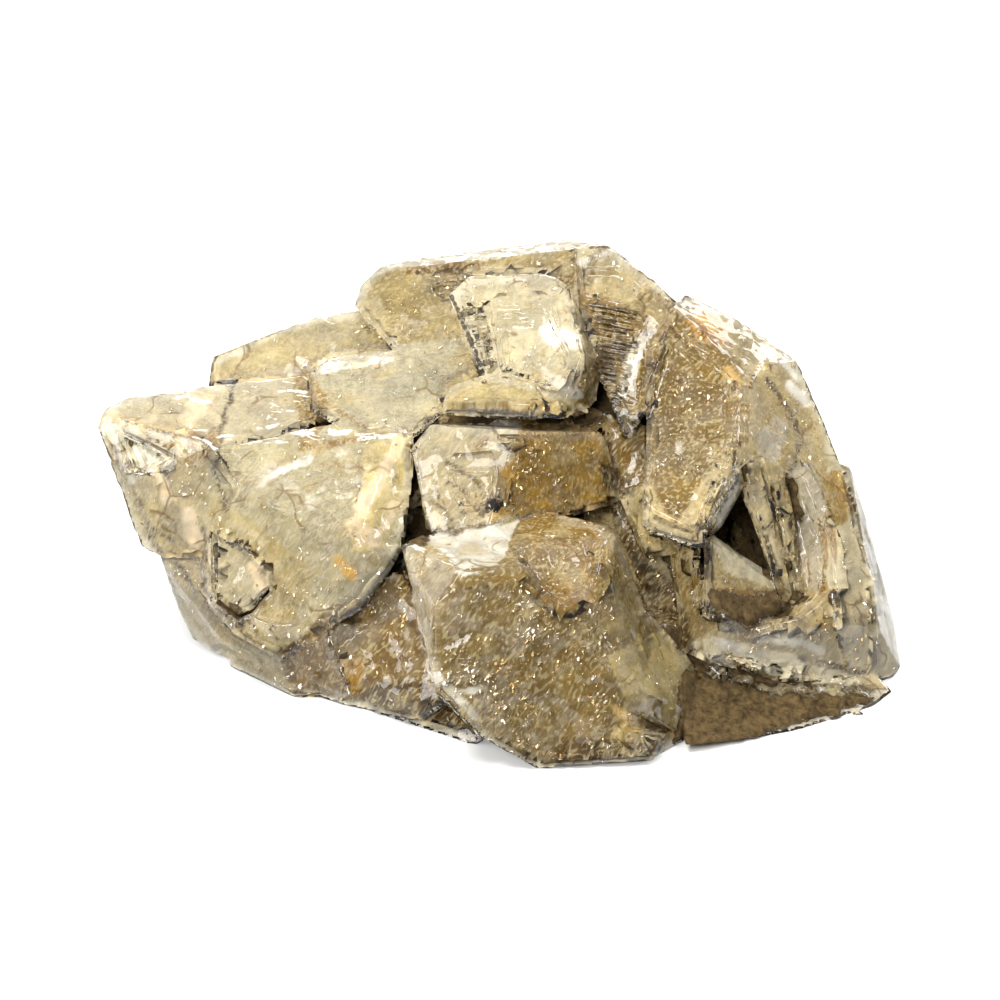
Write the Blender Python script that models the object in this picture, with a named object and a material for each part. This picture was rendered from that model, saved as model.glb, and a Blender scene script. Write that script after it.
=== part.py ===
"""Fenster quartz: a hand-sized group of clear quartz crystals grown into one another.

Each crystal is a block cut flat on every side. The crystals are joined into one solid, and the
stepped hollows that skeletal growth leaves, called windows, are then sunk into their faces.
Run with blender --background --python part.py, or from Blender's text editor.
"""

import math
import random

import bmesh
import bpy
from mathutils import Matrix, Quaternion, Vector

MM = 0.001

# The group is laid out as it is seen from the front, from a little above, so a corner is given
# by where it shows in that view and by how near it is.
VIEW_RISE = math.radians(25.0)
VIEW_DISTANCE = 500.0
MIDDLE_HEIGHT = 15.9
BLOCK_SIZE = 110.0
WALL_RUN = 10.0

# A quartz crystal's end faces lean 51.8 degrees from its length, and three of them come lower.
CAP_SLOPE = math.radians(51.8)
CAP_DROPS = (0.0, 0.16, 0.02, 0.10, 0.05, 0.20)
PRISM_WALLS = (1.0, 0.86, 1.08, 0.92, 1.04, 0.84)

# The broken foot stands on the ground, cut flat at this height above the view's own floor.
FOOT_HEIGHT = 0.9

RIGHTWARD = Vector((1.0, 0.0, 0.0))
UPWARD = Vector((0.0, math.sin(VIEW_RISE), math.cos(VIEW_RISE)))
NEARER = Vector((0.0, -math.cos(VIEW_RISE), math.sin(VIEW_RISE)))


def spot(right, up, near):
    """The place, in metres, of a corner seen that many mm right of and above the view's middle."""
    narrowing = (VIEW_DISTANCE - near) / VIEW_DISTANCE
    place = RIGHTWARD * right * narrowing + UPWARD * up * narrowing + NEARER * near
    return (place + Vector((0.0, 0.0, MIDDLE_HEIGHT))) * MM


def row_spot(x, y, z):
    """The place, in metres, of a corner given in mm in the row frame, before the last shift."""
    return Vector((x, y, z)) * MM


def face_outward(face):
    """The direction a front face looks in, from three of its corners."""
    first, second, third = (spot(*corner) for corner in face)
    outward = (second - first).cross(third - first).normalized()
    return outward if outward.dot(NEARER) > 0.0 else -outward


def on_face(face, right, up):
    """The place on a face that shows that many mm right of and above the view's middle."""
    outward = face_outward(face)
    start = spot(right, up, 0.0)
    step = spot(right, up, 1.0) - start
    return start + step * outward.dot(spot(*face[0]) - start) / outward.dot(step)


def clear_scene():
    for thing in list(bpy.data.objects):
        bpy.data.objects.remove(thing)


def new_object(name, mesh_maker):
    mesh = bpy.data.meshes.new(name)
    mesh_maker.to_mesh(mesh)
    mesh_maker.free()
    thing = bpy.data.objects.new(name, mesh)
    bpy.context.scene.collection.objects.link(thing)
    return thing


def guide(thing):
    """A shape that only joins or cuts another one."""
    thing.hide_render = True
    thing.display_type = "WIRE"
    return thing


def slice_off(mesh_maker, point, outward):
    """Cuts a closed block flat at point and closes the cut."""
    geometry = mesh_maker.verts[:] + mesh_maker.edges[:] + mesh_maker.faces[:]
    cut = bmesh.ops.bisect_plane(
        mesh_maker, geom=geometry, plane_co=point, plane_no=outward, dist=1e-7, clear_outer=True
    )
    rim = [part for part in cut["geom_cut"] if isinstance(part, bmesh.types.BMEdge)]
    if rim:
        bmesh.ops.contextual_create(mesh_maker, geom=rim)


def crystal(name, outline, faces, back, lean=8.0, pointed=True):
    """A crystal. Outline is its corners in order as seen from the front, from which its walls run
    back and lean inward by that many degrees. Each of faces is three corners of a front face.
    Back is how near its far end is, which is negative behind the view's middle. The far end is
    closed by three sloping faces, or cut flat."""
    corners = [Vector(corner) for corner in outline]
    heart = sum(corners, Vector()) / len(corners)
    heart.z = (min(corner.z for corner in corners) + back) / 2.0
    middle = spot(*heart)
    maker = bmesh.new()
    bmesh.ops.create_cube(maker, size=BLOCK_SIZE * MM, matrix=Matrix.Translation(middle))
    for start, end in zip(corners, corners[1:] + corners[:1]):
        across = Vector((end.y - start.y, start.x - end.x)).normalized()
        if across.dot(heart.xy - start.xy) < 0.0:
            across = -across
        behind = (start + end) / 2.0 - Vector((0.0, 0.0, WALL_RUN))
        behind.xy += across * WALL_RUN * math.tan(math.radians(lean))
        cut_by_corners(maker, (start, end, behind), middle)
    for face in faces:
        cut_by_corners(maker, face, middle)
    end = spot(heart.x, heart.y, back)
    slice_off(maker, end, -NEARER)
    chance = random.Random(name)
    roll = chance.uniform(0.0, 60.0)
    for number in range(3 if pointed else 0):
        sideways = UPWARD.copy()
        sideways.rotate(Quaternion(NEARER, math.radians(roll + 120.0 * number)))
        sloping = sideways * math.sin(CAP_SLOPE) - NEARER * math.cos(CAP_SLOPE)
        slice_off(maker, end + sideways * chance.uniform(2.0, 4.0) * MM, sloping)
    bmesh.ops.recalc_face_normals(maker, faces=maker.faces[:])
    return guide(new_object(name, maker))


def cut_by_corners(maker, corners, middle):
    """Cuts the block flat through three corners, and keeps the side that middle is on."""
    first, second, third = (spot(*corner) for corner in corners)
    outward = (second - first).cross(third - first).normalized()
    if outward.dot(first - middle) < 0.0:
        outward = -outward
    slice_off(maker, first, outward)


def quartz_point(name, root, tip, width, turn):
    """A whole crystal in the row frame: a six-sided prism from root, closed by the six sloping
    faces at tip. Turn is how far it is rolled about its own length, in degrees."""
    root = row_spot(*root)
    tip = row_spot(*tip)
    axis = (tip - root).normalized()
    side = axis.orthogonal().normalized()
    maker = bmesh.new()
    middle = (root + tip) / 2.0
    bmesh.ops.create_cube(maker, size=BLOCK_SIZE * MM, matrix=Matrix.Translation(middle))
    for number, (wall, cap) in enumerate(zip(PRISM_WALLS, CAP_DROPS)):
        outward = side.copy()
        outward.rotate(Quaternion(axis, math.radians(turn + 60.0 * number)))
        slice_off(maker, middle + outward * width * wall / 2.0 * MM, outward)
        sloping = outward * math.sin(CAP_SLOPE) + axis * math.cos(CAP_SLOPE)
        slice_off(maker, tip - axis * width * cap * MM, sloping)
    slice_off(maker, root, -axis)
    bmesh.ops.recalc_face_normals(maker, faces=maker.faces[:])
    return guide(new_object(name, maker))


def close_rings(maker, rings):
    """Skins a row of rings, each with the same number of places, and closes both ends. The rings
    run anticlockwise as seen from beyond the last one."""
    loops = [[maker.verts.new(place) for place in ring] for ring in rings]
    for near_loop, far_loop in zip(loops, loops[1:]):
        for index in range(len(near_loop)):
            after = (index + 1) % len(near_loop)
            maker.faces.new(
                (near_loop[index], near_loop[after], far_loop[after], far_loop[index])
            )
    maker.faces.new(reversed(loops[0]))
    maker.faces.new(loops[-1])


def stepped_hollow(name, face, outline, steps, mouth=3.0):
    """A cutter for a window. Outline is drawn on the face as it shows in the front view. Each of
    steps is how large a terrace is beside the one above it, and how deep it lies, in mm."""
    outward = face_outward(face)
    places = [on_face(face, right, up) for right, up in outline]
    heart = sum(places, Vector()) / len(places)
    rings = []
    size = 1.0
    top = -mouth
    for scale, depth in steps:
        size *= scale
        for level in (top, depth):
            taper = 1.0 - 0.04 * (level == depth)
            rings.append(
                [heart + (place - heart) * size * taper - outward * level * MM for place in places]
            )
        top = depth
    maker = bmesh.new()
    close_rings(maker, rings)
    bmesh.ops.recalc_face_normals(maker, faces=maker.faces[:])
    return guide(new_object(name, maker))


def comb(name, face, first_line, last_line, count, depth, seed):
    """A cutter for a row of V-shaped grooves on a face, spaced evenly from the first line to the
    last. A line is its two ends as they show in the front view."""
    chance = random.Random(seed)
    outward = face_outward(face)
    maker = bmesh.new()
    starts = [Vector(first_line[0]), Vector(last_line[0])]
    ends = [Vector(first_line[1]), Vector(last_line[1])]
    pitch = ((starts[1] - starts[0]).length + (ends[1] - ends[0]).length) / 2.0 / (count - 1)
    for number in range(count):
        part = number / (count - 1)
        start = on_face(face, *starts[0].lerp(starts[1], part))
        end = on_face(face, *ends[0].lerp(ends[1], part))
        run = end - start
        start += run * chance.uniform(0.0, 0.12)
        end -= run * chance.uniform(0.0, 0.12)
        across = run.cross(outward).normalized() * pitch * chance.uniform(0.3, 0.42) * MM
        sunk = outward * depth * chance.uniform(0.6, 1.0) * MM
        raised = outward * 0.3 * MM
        rings = [
            (place - across + raised, place + across + raised, place - sunk)
            for place in (start, end)
        ]
        close_rings(maker, rings)
    return guide(new_object(name, maker))


def lumps(name, face, corner, right_step, up_step, rows, size, seed):
    """Round lumps that sit half sunk on a face, in staggered rows from one corner of it."""
    chance = random.Random(seed)
    outward = face_outward(face)
    maker = bmesh.new()
    for row in range(rows[1]):
        for column in range(rows[0]):
            shift = 0.5 * (row % 2) + chance.uniform(-0.12, 0.12)
            right = corner[0] + right_step[0] * (column + shift) + up_step[0] * row
            up = corner[1] + right_step[1] * (column + shift) + up_step[1] * row
            radius = size * chance.uniform(0.65, 1.0) / 2.0
            place = on_face(face, right, up) - outward * radius * 0.35 * MM
            spin = Matrix.Rotation(chance.uniform(0.0, math.tau), 4, outward)
            bmesh.ops.create_icosphere(
                maker, subdivisions=1, radius=radius * MM, matrix=Matrix.Translation(place) @ spin
            )
    return guide(new_object(name, maker))


FRONT_FACE = ((-3.7, -7.2, 24.0), (-2.0, -23.7, 21.5), (9.5, -7.5, 23.0))


def front_crystal():
    """The stout crystal that stands foremost, with a bright slanting face at its top left."""
    top_left = (-10.0, -4.3, 17.0)
    bright_front = (-3.7, -7.2, 24.0)
    left_waist = (-6.4, -10.6, 23.7)
    left_foot = (-6.5, -19.2, 22.5)
    low_corner = (-2.0, -23.7, 21.5)
    foot = (3.7, -26.8, 20.0)
    return crystal(
        "front_crystal",
        [
            top_left,
            (-8.0, -3.6, 15.0),
            (-0.3, -1.9, 12.5),
            (6.0, -1.3, 11.5),
            (10.3, -2.9, 12.0),
            (12.3, -6.0, 12.5),
            (16.0, -15.5, 12.0),
            (16.8, -20.0, 13.0),
            (15.2, -25.8, 17.8),
            foot,
            low_corner,
            left_foot,
        ],
        [
            FRONT_FACE,
            (top_left, left_waist, left_foot),
            ((-8.7, -4.7, 18.2), bright_front, left_waist),
            (bright_front, (-8.0, -3.7, 15.5), (2.0, -2.1, 12.8)),
            ((9.8, -5.5, 21.4), (14.5, -19.8, 20.6), (16.0, -14.0, 13.5)),
            ((9.9, -5.5, 21.2), (8.4, -12.0, 22.2), (14.5, -19.8, 20.2)),
        ],
        back=0.0,
    )


LOBE_FACE = ((14.5, -19.7, 21.0), (20.0, -21.5, 13.5), (12.9, -24.0, 21.5))


def front_lobe():
    """The lower right end of the front crystal, broken and healed over."""
    return crystal(
        "front_lobe",
        [
            (12.0, -9.5, 8.0),
            (15.2, -12.2, 9.0),
            (19.2, -16.5, 9.5),
            (20.2, -20.0, 11.0),
            (19.7, -24.3, 14.5),
            (16.5, -25.7, 17.0),
            (9.0, -25.4, 17.0),
            (8.0, -18.0, 15.0),
        ],
        [
            ((10.5, -15.5, 23.0), (19.0, -16.8, 12.0), (14.5, -19.7, 21.0)),
            LOBE_FACE,
            ((19.0, -17.0, 12.0), (20.1, -22.0, 13.0), (15.0, -19.5, 20.8)),
            ((10.5, -15.5, 21.6), (9.0, -25.0, 20.3), (14.5, -19.7, 21.4)),
        ],
        back=0.0,
    )


MIDDLE_FACE = ((-9.0, 5.2, 8.0), (1.7, 6.9, 13.0), (-1.0, -2.2, 14.5))


def middle_crystal():
    """Between the front crystal and the upper one, with a pale left face and a brown right one."""
    ridge_top = (1.7, 6.9, 13.0)
    ridge_foot = (-1.0, -2.2, 14.5)
    return crystal(
        "middle_crystal",
        [
            (-9.0, 5.2, 8.0),
            (-6.8, 7.6, 6.5),
            (-3.4, 8.7, 7.0),
            (2.0, 8.5, 8.0),
            (8.5, 7.7, 4.5),
            (10.2, 6.0, 3.5),
            (12.0, 0.0, 5.0),
            (6.0, -3.0, 9.0),
            (0.0, -3.5, 11.0),
            (-4.8, -4.5, 11.0),
            (-7.2, -2.8, 10.5),
        ],
        [
            MIDDLE_FACE,
            (ridge_top, ridge_foot, (11.5, 1.0, 6.0)),
            ((-6.8, 7.6, 7.5), ridge_top, (9.5, 7.0, 5.0)),
        ],
        back=-10.0,
    )


UPPER_FACE = ((-4.5, 20.5, 1.5), (5.5, 21.0, 2.5), (6.5, 10.5, 9.0))


def upper_crystal():
    """Above the middle one, its ridged face turned up to the light."""
    return crystal(
        "upper_crystal",
        [
            (-5.0, 20.5, 0.0),
            (-3.0, 22.3, -0.5),
            (4.8, 22.5, 0.0),
            (7.0, 21.0, 0.0),
            (10.0, 13.5, 2.0),
            (9.8, 10.0, 3.0),
            (8.5, 8.6, 5.0),
            (3.0, 8.6, 8.0),
            (-1.5, 12.0, 6.0),
        ],
        [
            UPPER_FACE,
            ((7.6, 19.0, 3.6), (8.4, 14.5, 6.4), (9.9, 13.5, 3.0)),
            ((8.4, 14.5, 6.4), (6.7, 9.8, 9.2), (9.8, 11.0, 3.2)),
        ],
        back=-14.0,
    )


def sill_crystal():
    """The low ledge under the upper crystal."""
    return crystal(
        "sill_crystal",
        [
            (-5.8, 8.6, 7.0),
            (-5.3, 11.2, 5.0),
            (-1.3, 12.4, 5.0),
            (6.0, 10.6, 6.0),
            (9.0, 8.8, 5.0),
            (3.0, 8.2, 9.0),
        ],
        [
            ((-5.3, 11.2, 6.5), (3.0, 11.6, 8.8), (3.0, 9.6, 11.0)),
            ((-5.8, 8.6, 8.0), (3.0, 8.4, 10.6), (3.0, 9.6, 11.0)),
            ((3.0, 9.6, 11.0), (3.0, 8.4, 10.6), (9.0, 8.8, 6.0)),
            ((3.0, 11.6, 8.8), (3.0, 9.6, 11.0), (9.0, 9.5, 6.0)),
        ],
        back=-6.0,
    )


RIDGED_FACE = ((6.0, 24.0, -4.0), (15.0, 21.5, -1.5), (11.2, 8.0, 6.5))


def ridged_crystal():
    """Right of the upper one: a brown face ribbed all over, with a bright strip at its edge."""
    return crystal(
        "ridged_crystal",
        [
            (5.3, 23.8, -6.0),
            (7.5, 25.0, -6.5),
            (11.0, 25.0, -6.0),
            (15.5, 21.6, -4.0),
            (17.6, 19.6, -3.0),
            (17.4, 14.0, 0.0),
            (13.0, 6.5, 4.0),
            (9.8, 6.6, 3.0),
            (9.0, 13.0, 0.0),
            (7.0, 20.0, -4.0),
        ],
        [
            RIDGED_FACE,
            ((15.4, 20.4, -0.8), (10.8, 8.1, 6.4), (15.5, 14.8, 1.8)),
            ((6.0, 24.2, -4.5), (11.0, 24.8, -4.5), (15.2, 21.8, -2.0)),
        ],
        back=-20.0,
    )


TOP_FACE = ((-11.5, 22.8, -11.0), (8.5, 25.0, -11.0), (-2.0, 14.0, -4.0))


def top_slab():
    """The broad crystal that lies across the back of the top."""
    return crystal(
        "top_slab",
        [
            (-14.5, 19.5, -12.0),
            (-13.8, 21.5, -13.0),
            (-11.5, 23.5, -14.0),
            (-7.0, 24.4, -15.0),
            (9.0, 26.3, -16.0),
            (11.5, 25.0, -15.0),
            (15.0, 20.0, -12.0),
            (8.0, 14.0, -10.0),
            (-8.0, 13.0, -8.0),
        ],
        [
            TOP_FACE,
            ((-7.0, 24.1, -13.5), (9.0, 26.0, -14.0), (0.0, 24.2, -10.5)),
            ((-14.3, 19.5, -11.0), (-11.8, 23.0, -12.0), (-10.0, 16.0, -5.5)),
        ],
        back=-25.0,
    )


def back_left_crystal():
    """Behind the left end, low and rounded off."""
    return crystal(
        "back_left_crystal",
        [
            (-28.7, 11.0, -12.0),
            (-28.4, 15.0, -13.0),
            (-25.5, 17.3, -14.0),
            (-18.0, 18.2, -15.0),
            (-12.0, 20.5, -16.0),
            (-9.0, 14.0, -12.0),
            (-16.0, 9.0, -10.0),
        ],
        [
            ((-28.0, 15.0, -11.0), (-18.0, 17.7, -12.0), (-20.0, 9.0, -6.0)),
            ((-25.5, 17.1, -13.0), (-14.2, 19.5, -14.0), (-18.0, 16.5, -10.5)),
        ],
        back=-23.0,
    )


def left_tip_crystal():
    """The long clear crystal whose end points left."""
    tip = (-40.2, 7.2, -1.0)
    return crystal(
        "left_tip_crystal",
        [
            tip,
            (-39.3, 9.0, -3.0),
            (-37.0, 10.2, -5.0),
            (-28.7, 11.2, -7.0),
            (-20.0, 12.6, -8.0),
            (-15.0, 10.0, -4.0),
            (-15.0, 6.4, -1.0),
            (-28.0, 4.0, 2.0),
            (-37.0, 1.0, 2.0),
        ],
        [
            ((-38.0, 8.5, 0.0), (-18.0, 11.0, -5.0), (-32.0, 4.0, 6.0)),
            ((-32.0, 4.0, 6.0), (-18.0, 6.5, 2.5), (-30.0, 1.0, 5.0)),
            ((-38.2, 7.2, 1.5), (-32.0, 3.9, 6.0), (-37.0, 1.5, 3.5)),
        ],
        back=-20.0,
    )


CHEEK_FACE = ((-38.2, 7.2, 1.5), (-32.0, 3.9, 6.2), (-37.0, 1.5, 3.6))


def left_cheek_crystal():
    """Below the left tip, with a bright three-cornered face."""
    return crystal(
        "left_cheek_crystal",
        [
            (-40.0, 6.8, -1.0),
            (-38.0, 8.0, 0.0),
            (-30.0, 5.0, 0.0),
            (-27.0, 1.0, 0.0),
            (-28.0, -5.0, 0.0),
            (-33.5, -5.4, 0.0),
            (-35.7, -4.6, 0.0),
        ],
        [
            CHEEK_FACE,
            ((-37.0, 1.5, 3.6), (-32.0, 3.9, 6.2), (-29.5, -4.5, 5.0)),
            ((-39.2, 6.0, 0.5), (-38.2, 7.2, 1.5), (-35.0, -4.4, 2.4)),
        ],
        back=-20.0,
    )


def left_top_crystal():
    """The pale flat-topped crystal between the left end and the middle."""
    return crystal(
        "left_top_crystal",
        [
            (-19.0, 12.8, -5.0),
            (-17.0, 14.3, -7.0),
            (-3.5, 15.6, -6.0),
            (-1.5, 12.5, -2.0),
            (-5.5, 8.8, 2.0),
            (-8.8, 6.2, 4.0),
            (-15.5, 7.0, 2.0),
            (-18.5, 9.0, -1.0),
        ],
        [
            ((-18.8, 12.8, -3.0), (-4.0, 15.2, -3.5), (-10.0, 6.4, 5.5)),
            ((-18.8, 12.9, -3.2), (-17.0, 14.2, -6.0), (-4.0, 15.3, -3.7)),
            ((-18.0, 9.0, 1.0), (-15.5, 7.2, 3.2), (-18.7, 12.5, -3.0)),
        ],
        back=-20.0,
    )


LEFT_FACE = ((-10.6, 6.2, 6.0), (-14.5, -4.6, 13.5), (-25.0, -1.0, 9.5))
LEFT_CORNER_FACE = ((-28.0, 0.5, 7.0), (-17.0, -8.0, 11.5), (-25.5, -12.5, 7.5))


def left_front_crystal():
    """The large pale crystal left of the front one, with a bright edge down its right side."""
    edge_top = (-10.6, 6.2, 6.0)
    edge_foot = (-14.5, -4.6, 13.5)
    return crystal(
        "left_front_crystal",
        [
            (-28.3, 4.8, 3.0),
            (-18.0, 7.4, 1.5),
            (-12.5, 8.0, 1.5),
            (-8.8, 6.4, 3.5),
            (-8.4, -2.0, 7.0),
            (-9.8, -4.6, 9.0),
            (-10.5, -8.5, 10.0),
            (-22.0, -16.0, 8.0),
            (-26.5, -13.0, 4.0),
            (-29.8, -9.0, 3.0),
            (-29.8, -4.5, 3.0),
        ],
        [
            LEFT_FACE,
            (edge_top, edge_foot, (-9.0, -3.0, 9.5)),
            (edge_foot, (-22.0, -15.5, 10.0), (-10.5, -8.5, 12.0)),
            ((-18.0, 5.6, 5.8), edge_top, (-12.0, 7.6, 3.0)),
            LEFT_CORNER_FACE,
            ((-29.6, -1.0, 5.0), (-29.0, -10.0, 5.6), (-28.4, 0.0, 6.6)),
        ],
        back=-20.0,
    )


def left_rim_crystal():
    """The pale rim along the lower left edge."""
    return crystal(
        "left_rim_crystal",
        [
            (-34.0, -4.8, -1.0),
            (-29.5, -3.0, 0.0),
            (-18.0, -14.0, 3.0),
            (-15.5, -19.5, 7.0),
            (-20.0, -19.7, 4.5),
            (-30.5, -13.7, -5.0),
            (-31.7, -11.0, -5.0),
        ],
        [
            ((-33.4, -5.6, 1.6), (-20.0, -17.6, 7.6), (-28.0, -3.0, 6.2)),
            ((-30.4, -9.0, 4.4), (-27.5, -13.6, 4.2), (-31.6, -10.5, 0.0)),
            ((-20.0, -17.4, 7.6), (-27.5, -13.4, 4.8), (-24.0, -17.2, 2.0)),
        ],
        back=-22.0,
    )


def left_foot_crystal():
    """The brown crystal under the left front one, on which that side stands."""
    return crystal(
        "left_foot_crystal",
        [
            (-22.0, -15.0, 4.0),
            (-16.0, -9.5, 5.0),
            (-10.0, -7.5, 6.0),
            (-7.5, -10.0, 8.0),
            (-6.0, -20.0, 10.0),
            (-9.0, -22.5, 11.0),
            (-15.5, -20.3, 6.5),
            (-20.0, -19.6, 4.5),
        ],
        [
            ((-20.0, -17.0, 7.5), (-10.5, -8.0, 10.0), (-10.0, -19.0, 13.0)),
            ((-20.0, -19.3, 5.0), (-15.5, -20.0, 8.5), (-14.0, -17.0, 11.0)),
        ],
        back=-18.0,
    )


def left_toe_crystal():
    """The dark wedge at the foot, left of the front crystal."""
    return crystal(
        "left_toe_crystal",
        [
            (-15.8, -20.0, 5.0),
            (-11.5, -18.5, 7.0),
            (-6.5, -18.5, 8.0),
            (-1.8, -23.5, 12.0),
            (-2.4, -24.3, 14.4),
            (-9.0, -24.1, 14.0),
        ],
        [
            ((-14.0, -20.0, 8.0), (-6.5, -19.0, 11.5), (-3.0, -23.8, 15.0)),
        ],
        back=-14.0,
    )


RIGHT_FACE = ((16.8, 20.0, 0.5), (24.5, 12.5, 4.5), (14.0, -2.0, 13.0))


def right_crystal():
    """The big brown-faced crystal of the right half."""
    face_top = (16.8, 20.0, 0.5)
    return crystal(
        "right_crystal",
        [
            (15.5, 21.7, -5.0),
            (23.5, 18.0, -6.0),
            (29.0, 14.2, -6.0),
            (30.4, 11.5, -4.0),
            (32.2, 7.4, -3.0),
            (20.0, -4.5, 11.0),
            (15.0, -3.0, 11.0),
            (12.0, 0.0, 8.0),
            (11.0, 7.0, 5.0),
            (12.0, 9.4, 3.0),
            (15.0, 14.8, 1.0),
        ],
        [
            RIGHT_FACE,
            (face_top, (24.5, 12.5, 4.5), (29.0, 14.2, -3.0)),
            ((24.5, 12.5, 4.5), (24.8, 4.0, 9.0), (29.5, 7.0, 2.0)),
        ],
        back=-23.0,
    )


WINDOW_FACE = ((24.0, 3.0, 9.5), (20.5, -5.5, 14.0), (33.5, -4.0, 6.5))


def window_crystal():
    """The crystal at the right end, whose face is the great open window."""
    left_edge = (20.3, -3.5, 12.6)
    lower_edge = (22.0, -13.0, 14.6)
    return crystal(
        "window_crystal",
        [
            (26.4, 13.8, 0.0),
            (29.5, 13.8, -2.0),
            (32.2, 7.0, -2.0),
            (33.6, 3.0, -2.0),
            (36.5, -8.0, 0.0),
            (37.5, -18.0, 3.0),
            (27.7, -17.9, 9.0),
            (18.2, -15.1, 10.5),
            (16.9, -4.0, 8.5),
            (21.0, 4.0, 7.0),
        ],
        [
            WINDOW_FACE,
            ((24.0, 3.2, 9.5), (25.3, 13.0, 3.5), (33.0, 2.5, 4.0)),
            (left_edge, lower_edge, (17.2, -5.0, 9.5)),
            (lower_edge, (36.5, -16.5, 6.0), (27.0, -17.6, 10.0)),
        ],
        back=-20.0,
    )


def right_rim_crystal():
    """The rounded crystal that closes the window on the right."""
    return crystal(
        "right_rim_crystal",
        [
            (32.6, 3.2, -1.0),
            (34.8, 3.0, -2.0),
            (37.2, -4.0, -1.0),
            (39.3, -11.2, 0.0),
            (40.0, -16.5, 1.0),
            (38.5, -19.1, 3.0),
            (34.5, -18.4, 5.5),
            (32.5, -14.0, 6.0),
            (33.0, -2.0, 2.0),
        ],
        [
            ((33.2, 2.5, 3.5), (34.2, 2.5, 2.5), (34.0, -10.0, 9.0)),
            ((35.5, 0.0, 3.0), (37.5, -9.0, 4.5), (39.6, -14.0, 1.0)),
            ((36.5, -12.5, 8.0), (34.0, -17.5, 7.0), (39.5, -16.5, 3.0)),
        ],
        back=-18.0,
    )


def sill_plate_crystal():
    """The broken plate along the foot of the window, chipped white at its edge."""
    return crystal(
        "sill_plate_crystal",
        [
            (22.2, -14.6, 9.0),
            (24.3, -13.2, 9.0),
            (29.6, -14.4, 6.0),
            (35.0, -16.6, 4.0),
            (35.2, -18.2, 4.0),
            (32.4, -17.6, 6.0),
            (27.7, -18.0, 8.0),
        ],
        [
            ((24.0, -13.6, 15.0), (34.6, -16.8, 8.0), (27.6, -17.6, 11.0)),
        ],
        back=-8.0,
    )


def valley_ledge_crystal():
    """The thin pale ledge that hangs over the dark cleft, below the right crystal."""
    return crystal(
        "valley_ledge_crystal",
        [
            (12.2, 0.4, 5.0),
            (15.0, 1.6, 6.0),
            (19.5, 0.0, 8.0),
            (20.6, -4.0, 8.0),
            (17.6, -5.0, 8.0),
            (17.0, -8.4, 7.0),
            (15.2, -7.0, 6.0),
            (13.4, -2.8, 6.0),
        ],
        [
            ((13.0, 0.2, 8.2), (17.3, -3.8, 10.6), (15.0, -6.6, 8.0)),
        ],
        back=-8.0,
    )


def cleft_crystal():
    """Deep between the front crystal and the right one, where little light reaches."""
    return crystal(
        "cleft_crystal",
        [
            (9.0, 9.0, 0.0),
            (16.5, 6.0, 0.0),
            (21.5, -8.0, 4.0),
            (22.0, -17.0, 6.0),
            (12.0, -16.0, 4.0),
            (8.0, -4.0, 0.0),
        ],
        [
            ((9.0, 6.0, 3.0), (17.0, -6.0, 8.0), (13.0, -12.0, 5.0)),
            ((11.0, 5.0, 3.5), (12.0, -4.0, 5.0), (19.0, -14.0, 9.0)),
        ],
        back=-14.0,
    )


def core_crystal():
    """The crystals' common root, seen only at the bottom of the gaps between them."""
    return crystal(
        "core_crystal",
        [
            (-12.0, 18.0, -8.0),
            (14.0, 20.0, -8.0),
            (26.0, 8.0, -4.0),
            (26.0, -14.0, -2.0),
            (6.0, -20.0, 0.0),
            (-16.0, -16.0, -2.0),
            (-24.0, -6.0, -6.0),
            (-22.0, 8.0, -8.0),
        ],
        [
            ((-14.0, 16.0, -6.0), (14.0, 16.0, -6.0), (0.0, -16.0, 3.0)),
        ],
        back=-22.0,
    )


UNDER_FACE = ((19.0, -15.0, 9.0), (34.0, -16.0, 5.0), (27.0, -23.0, 13.5))


def under_crystal():
    """The rough dark foot under the right end."""
    return crystal(
        "under_crystal",
        [
            (18.0, -14.0, 4.0),
            (34.0, -14.0, 2.0),
            (38.4, -19.0, 2.0),
            (37.0, -20.6, 6.5),
            (33.0, -22.2, 9.8),
            (26.0, -23.5, 12.8),
            (19.0, -23.9, 13.7),
        ],
        [
            UNDER_FACE,
        ],
        back=-16.0,
    )


def root_block():
    """The broad broken foot under the group, which stands flat on the ground."""
    maker = bmesh.new()
    bmesh.ops.create_cube(
        maker, size=1.0, matrix=Matrix.Translation(row_spot(3.0, 2.0, 3.0)) @ Matrix.Diagonal(
            (0.060, 0.032, 0.012, 1.0)
        )
    )
    for point, outward in (
        ((-24.0, -10.0, 0.0), (-1.0, -1.0, -0.3)),
        ((30.0, -12.0, 0.0), (1.0, -1.2, -0.2)),
        ((-22.0, 16.0, 0.0), (-1.0, 1.2, -0.4)),
        ((28.0, 15.0, 0.0), (1.0, 1.0, -0.3)),
        ((0.0, 17.0, 0.0), (0.1, 1.0, -0.4)),
    ):
        slice_off(maker, row_spot(*point), Vector(outward).normalized())
    bmesh.ops.recalc_face_normals(maker, faces=maker.faces[:])
    return guide(new_object("root_block", maker))


def back_points():
    """The pointed crystals of the back, out of sight from the front."""
    return [
        quartz_point("back_middle_point", (3.0, 2.0, 13.0), (7.0, 32.0, 18.0), 25.0, 12.0),
        quartz_point("back_right_point", (12.0, 2.0, 8.0), (28.0, 26.0, 13.0), 19.0, 35.0),
        quartz_point("back_left_point", (-6.0, 2.0, 8.0), (-25.0, 25.0, 11.0), 18.0, 5.0),
        quartz_point("back_upper_point", (0.0, 2.0, 14.0), (-7.0, 25.0, 27.0), 18.0, 20.0),
        quartz_point("back_lower_point", (-2.0, 4.0, 6.0), (-9.0, 33.0, 7.0), 16.0, 50.0),
        quartz_point("back_foot_point", (10.0, 4.0, 5.0), (21.0, 33.0, 6.0), 15.0, 0.0),
    ]


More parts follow.
